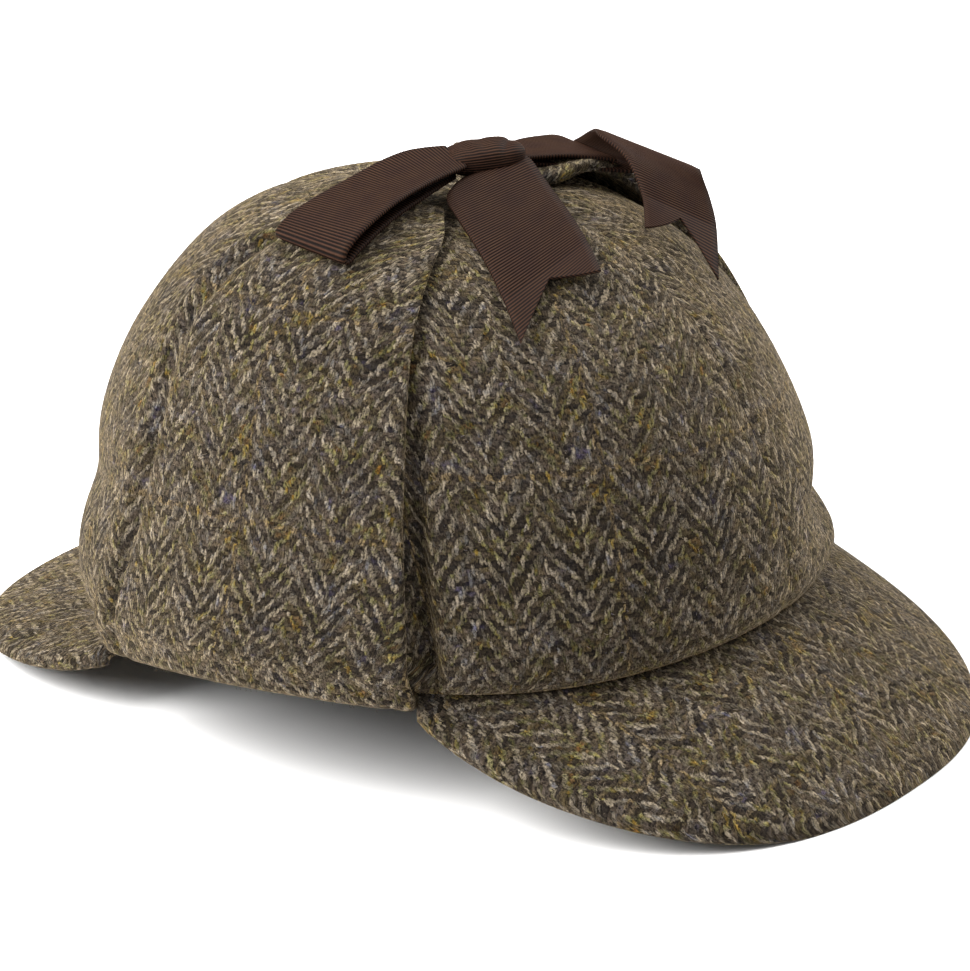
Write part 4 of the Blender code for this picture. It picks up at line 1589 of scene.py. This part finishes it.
# %% Tie the knot
KNOT_RINGS = 64
KNOT_SPOKES = 96
KNOT_PUCKERS = (
    # heading of the fold (degrees), place across it (mm), depth (mm), width (mm)
    (66.0, -6.4, 0.9, 1.3),
    (84.0, 0.5, 0.3, 1.6),
    (100.0, 5.6, 0.4, 1.4),
)


def knot_points():
    """The points from the top of the knot to its underside, and each one's run round it in mm."""
    polar, spoke = np.meshgrid(
        np.linspace(0, math.pi, KNOT_RINGS + 1)[1:-1],
        2 * math.pi * np.arange(KNOT_SPOKES) / KNOT_SPOKES,
        indexing="ij",
    )
    way = np.stack([np.sin(polar) * np.cos(spoke), np.sin(polar) * np.sin(spoke), np.cos(polar)], 2)
    way = np.concatenate([[[0, 0, 1]], way.reshape(-1, 3), [[0, 0, -1]]])
    size = (np.abs(way) ** KNOT_POWER).sum(axis=1) ** (1 / KNOT_POWER)
    points = KNOT_HALF * way / size[:, None]
    run = 500 * (KNOT_HALF[1] + KNOT_HALF[2]) * np.arctan2(
        points[:, 1] / KNOT_HALF[1], points[:, 2] / KNOT_HALF[2]
    )
    for heading, place, depth, width in KNOT_PUCKERS:
        a = math.radians(heading)
        across = 1000 * (points[:, 1] * math.cos(a) - points[:, 0] * math.sin(a)) - place
        fold = depth * np.exp(-((across / width) ** 2)) / 1000
        points = points - way * fold[:, None] * np.maximum(0, way[:, 2:3]) ** 0.5
    c, s = math.cos(KNOT_TURN), math.sin(KNOT_TURN)
    return points @ np.array([[c, -s, 0], [s, c, 0], [0, 0, 1]]).T + KNOT_CENTRE, run


def knot(name):
    points, run = knot_points()
    faces = []
    for j in range(KNOT_SPOKES):
        after = (j + 1) % KNOT_SPOKES
        faces.append((0, 1 + j, 1 + after))
        for i in range(KNOT_RINGS - 2):
            a, b = 1 + i * KNOT_SPOKES + j, 1 + i * KNOT_SPOKES + after
            faces.append((a, a + KNOT_SPOKES, b + KNOT_SPOKES, b))
        last = 1 + (KNOT_RINGS - 2) * KNOT_SPOKES
        faces.append((len(points) - 1, last + after, last + j))
    mesh = bpy.data.meshes.new(name)
    mesh.from_pydata(points.tolist(), [], faces)
    across = 1000 * points[:, 0]
    layer = mesh.uv_layers.new(name="threads_mm")
    for loop, spot in zip(mesh.loops, layer.data):
        spot.uv = (across[loop.vertex_index], run[loop.vertex_index])
    mark_points(mesh, "run_mm", run)
    mark_points(mesh, "rib_share", np.ones(len(points)))
    return ribbed(name, smooth_piece(name + "_plain", mesh, RIBBON_FINISH))


pieces["bow_knot"] = knot("bow_knot")
stands_for["bow_knot"] = "ribbon_knot"
print("bow_knot points:", len(pieces["bow_knot"].data.vertices))

# %% [markdown]
# ## Raise the nap
# Brushing raises a nap of loose fibres on tweed. Each tweed piece gets its fibres as a piece of
# their own, so that the cloth stays a clean closed mesh. The side gores lie wholly under the
# flaps and get none.

# %% Grow the fibres
# Fibres to a square metre.
NAP_DENSITY = 160000.0
tweed_names = [row[0] for row in (*GORES, *PEAKS, *FLAPS)]
naps = {}
for seed, name in enumerate(tweed_names, 1):
    if not name.startswith("gore_side"):
        naps[name] = grow_nap(pieces[name], NAP_DENSITY, seed)
triangles = {name: sum(len(p.vertices) - 2 for p in o.data.polygons) for name, o in naps.items()}
print("nap triangles:", triangles, "in all", sum(triangles.values()))

# %% [markdown]
# ## Hand the pieces to the frame
# Each piece rides on the hat's one body and stands for its imported solid. All of them are cloth.

# %% Ride and replace
for name, piece in pieces.items():
    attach(piece, "root")
    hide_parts(stands_for[name])
for piece in naps.values():
    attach(piece, "root")
print("declared sheets:", len(tweed_names) + len(STRIPS) + 1)

# %% [markdown]
# ## The table and the light
# A white table under a bright, even light: a large soft lamp above and one on each side, in
# white surroundings. The table is bright enough to read as pure white, and only the hat's soft
# shadow shows on it.

# %% Lay the table
TABLE_SIZE = 6.0
MATT_WHITE = {"Base Color": linear("#f4f3f2"), "Roughness": 0.6, "Specular IOR Level": 0.2}

half = TABLE_SIZE / 2
corners = [(-half, -half, 0), (half, -half, 0), (half, half, 0), (-half, half, 0)]
table_mesh = bpy.data.meshes.new("table")
table_mesh.from_pydata(corners, [], [(0, 1, 2, 3)])
table_mesh.materials.append(new_material("matt_white_table", MATT_WHITE)[0])
table = bpy.data.objects.new("table", table_mesh)
bpy.context.scene.collection.objects.link(table)
table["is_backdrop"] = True
print("table:", TABLE_SIZE, "m square")

# %% Set the lamps
LAMPS = (
    # name, place, what it aims at, size, watts
    ("lamp_above", (-0.2, 0.3, 2.2), (0.0, 0.0, 0.05), 2.6, 74.0),
    ("lamp_left", (-1.4, 0.9, 1.4), (0.0, 0.0, 0.08), 1.5, 98.0),
    ("lamp_right", (1.7, -0.5, 1.3), (0.0, 0.0, 0.08), 1.8, 58.0),
)
WORLD_STRENGTH = 0.35

for name, place, aim, size, watts in LAMPS:
    lamp_data = bpy.data.lights.new(name, "AREA")
    lamp_data.shape = "SQUARE"
    lamp_data.size = size
    lamp_data.energy = watts
    lamp = bpy.data.objects.new(name, lamp_data)
    lamp.location = place
    lamp.rotation_euler = (Vector(aim) - Vector(place)).to_track_quat("-Z", "Y").to_euler()
    bpy.context.scene.collection.objects.link(lamp)

world = bpy.data.worlds.new("white_surroundings")
world.use_nodes = True
background = world.node_tree.nodes["Background"]
background.inputs["Color"].default_value = (1.0, 1.0, 1.0, 1.0)
background.inputs["Strength"].default_value = WORLD_STRENGTH
bpy.context.scene.world = world
bpy.context.scene.view_settings.view_transform = "Standard"
print("lamps in all:", sum(lamp[-1] for lamp in LAMPS), "W")

# %% [markdown]
# ## Finish
# The sizes before and after show that dressing the hat has left its dimensions as they were, but
# for a millimetre of soft cloth at each side.

# %% Compare the sizes and finish
dressed_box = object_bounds()
for name, (low, high) in (("packed", cad_box), ("dressed", dressed_box)):
    print(name, "box in mm:", [round(1000 * (b - a), 1) for a, b in zip(low, high)])
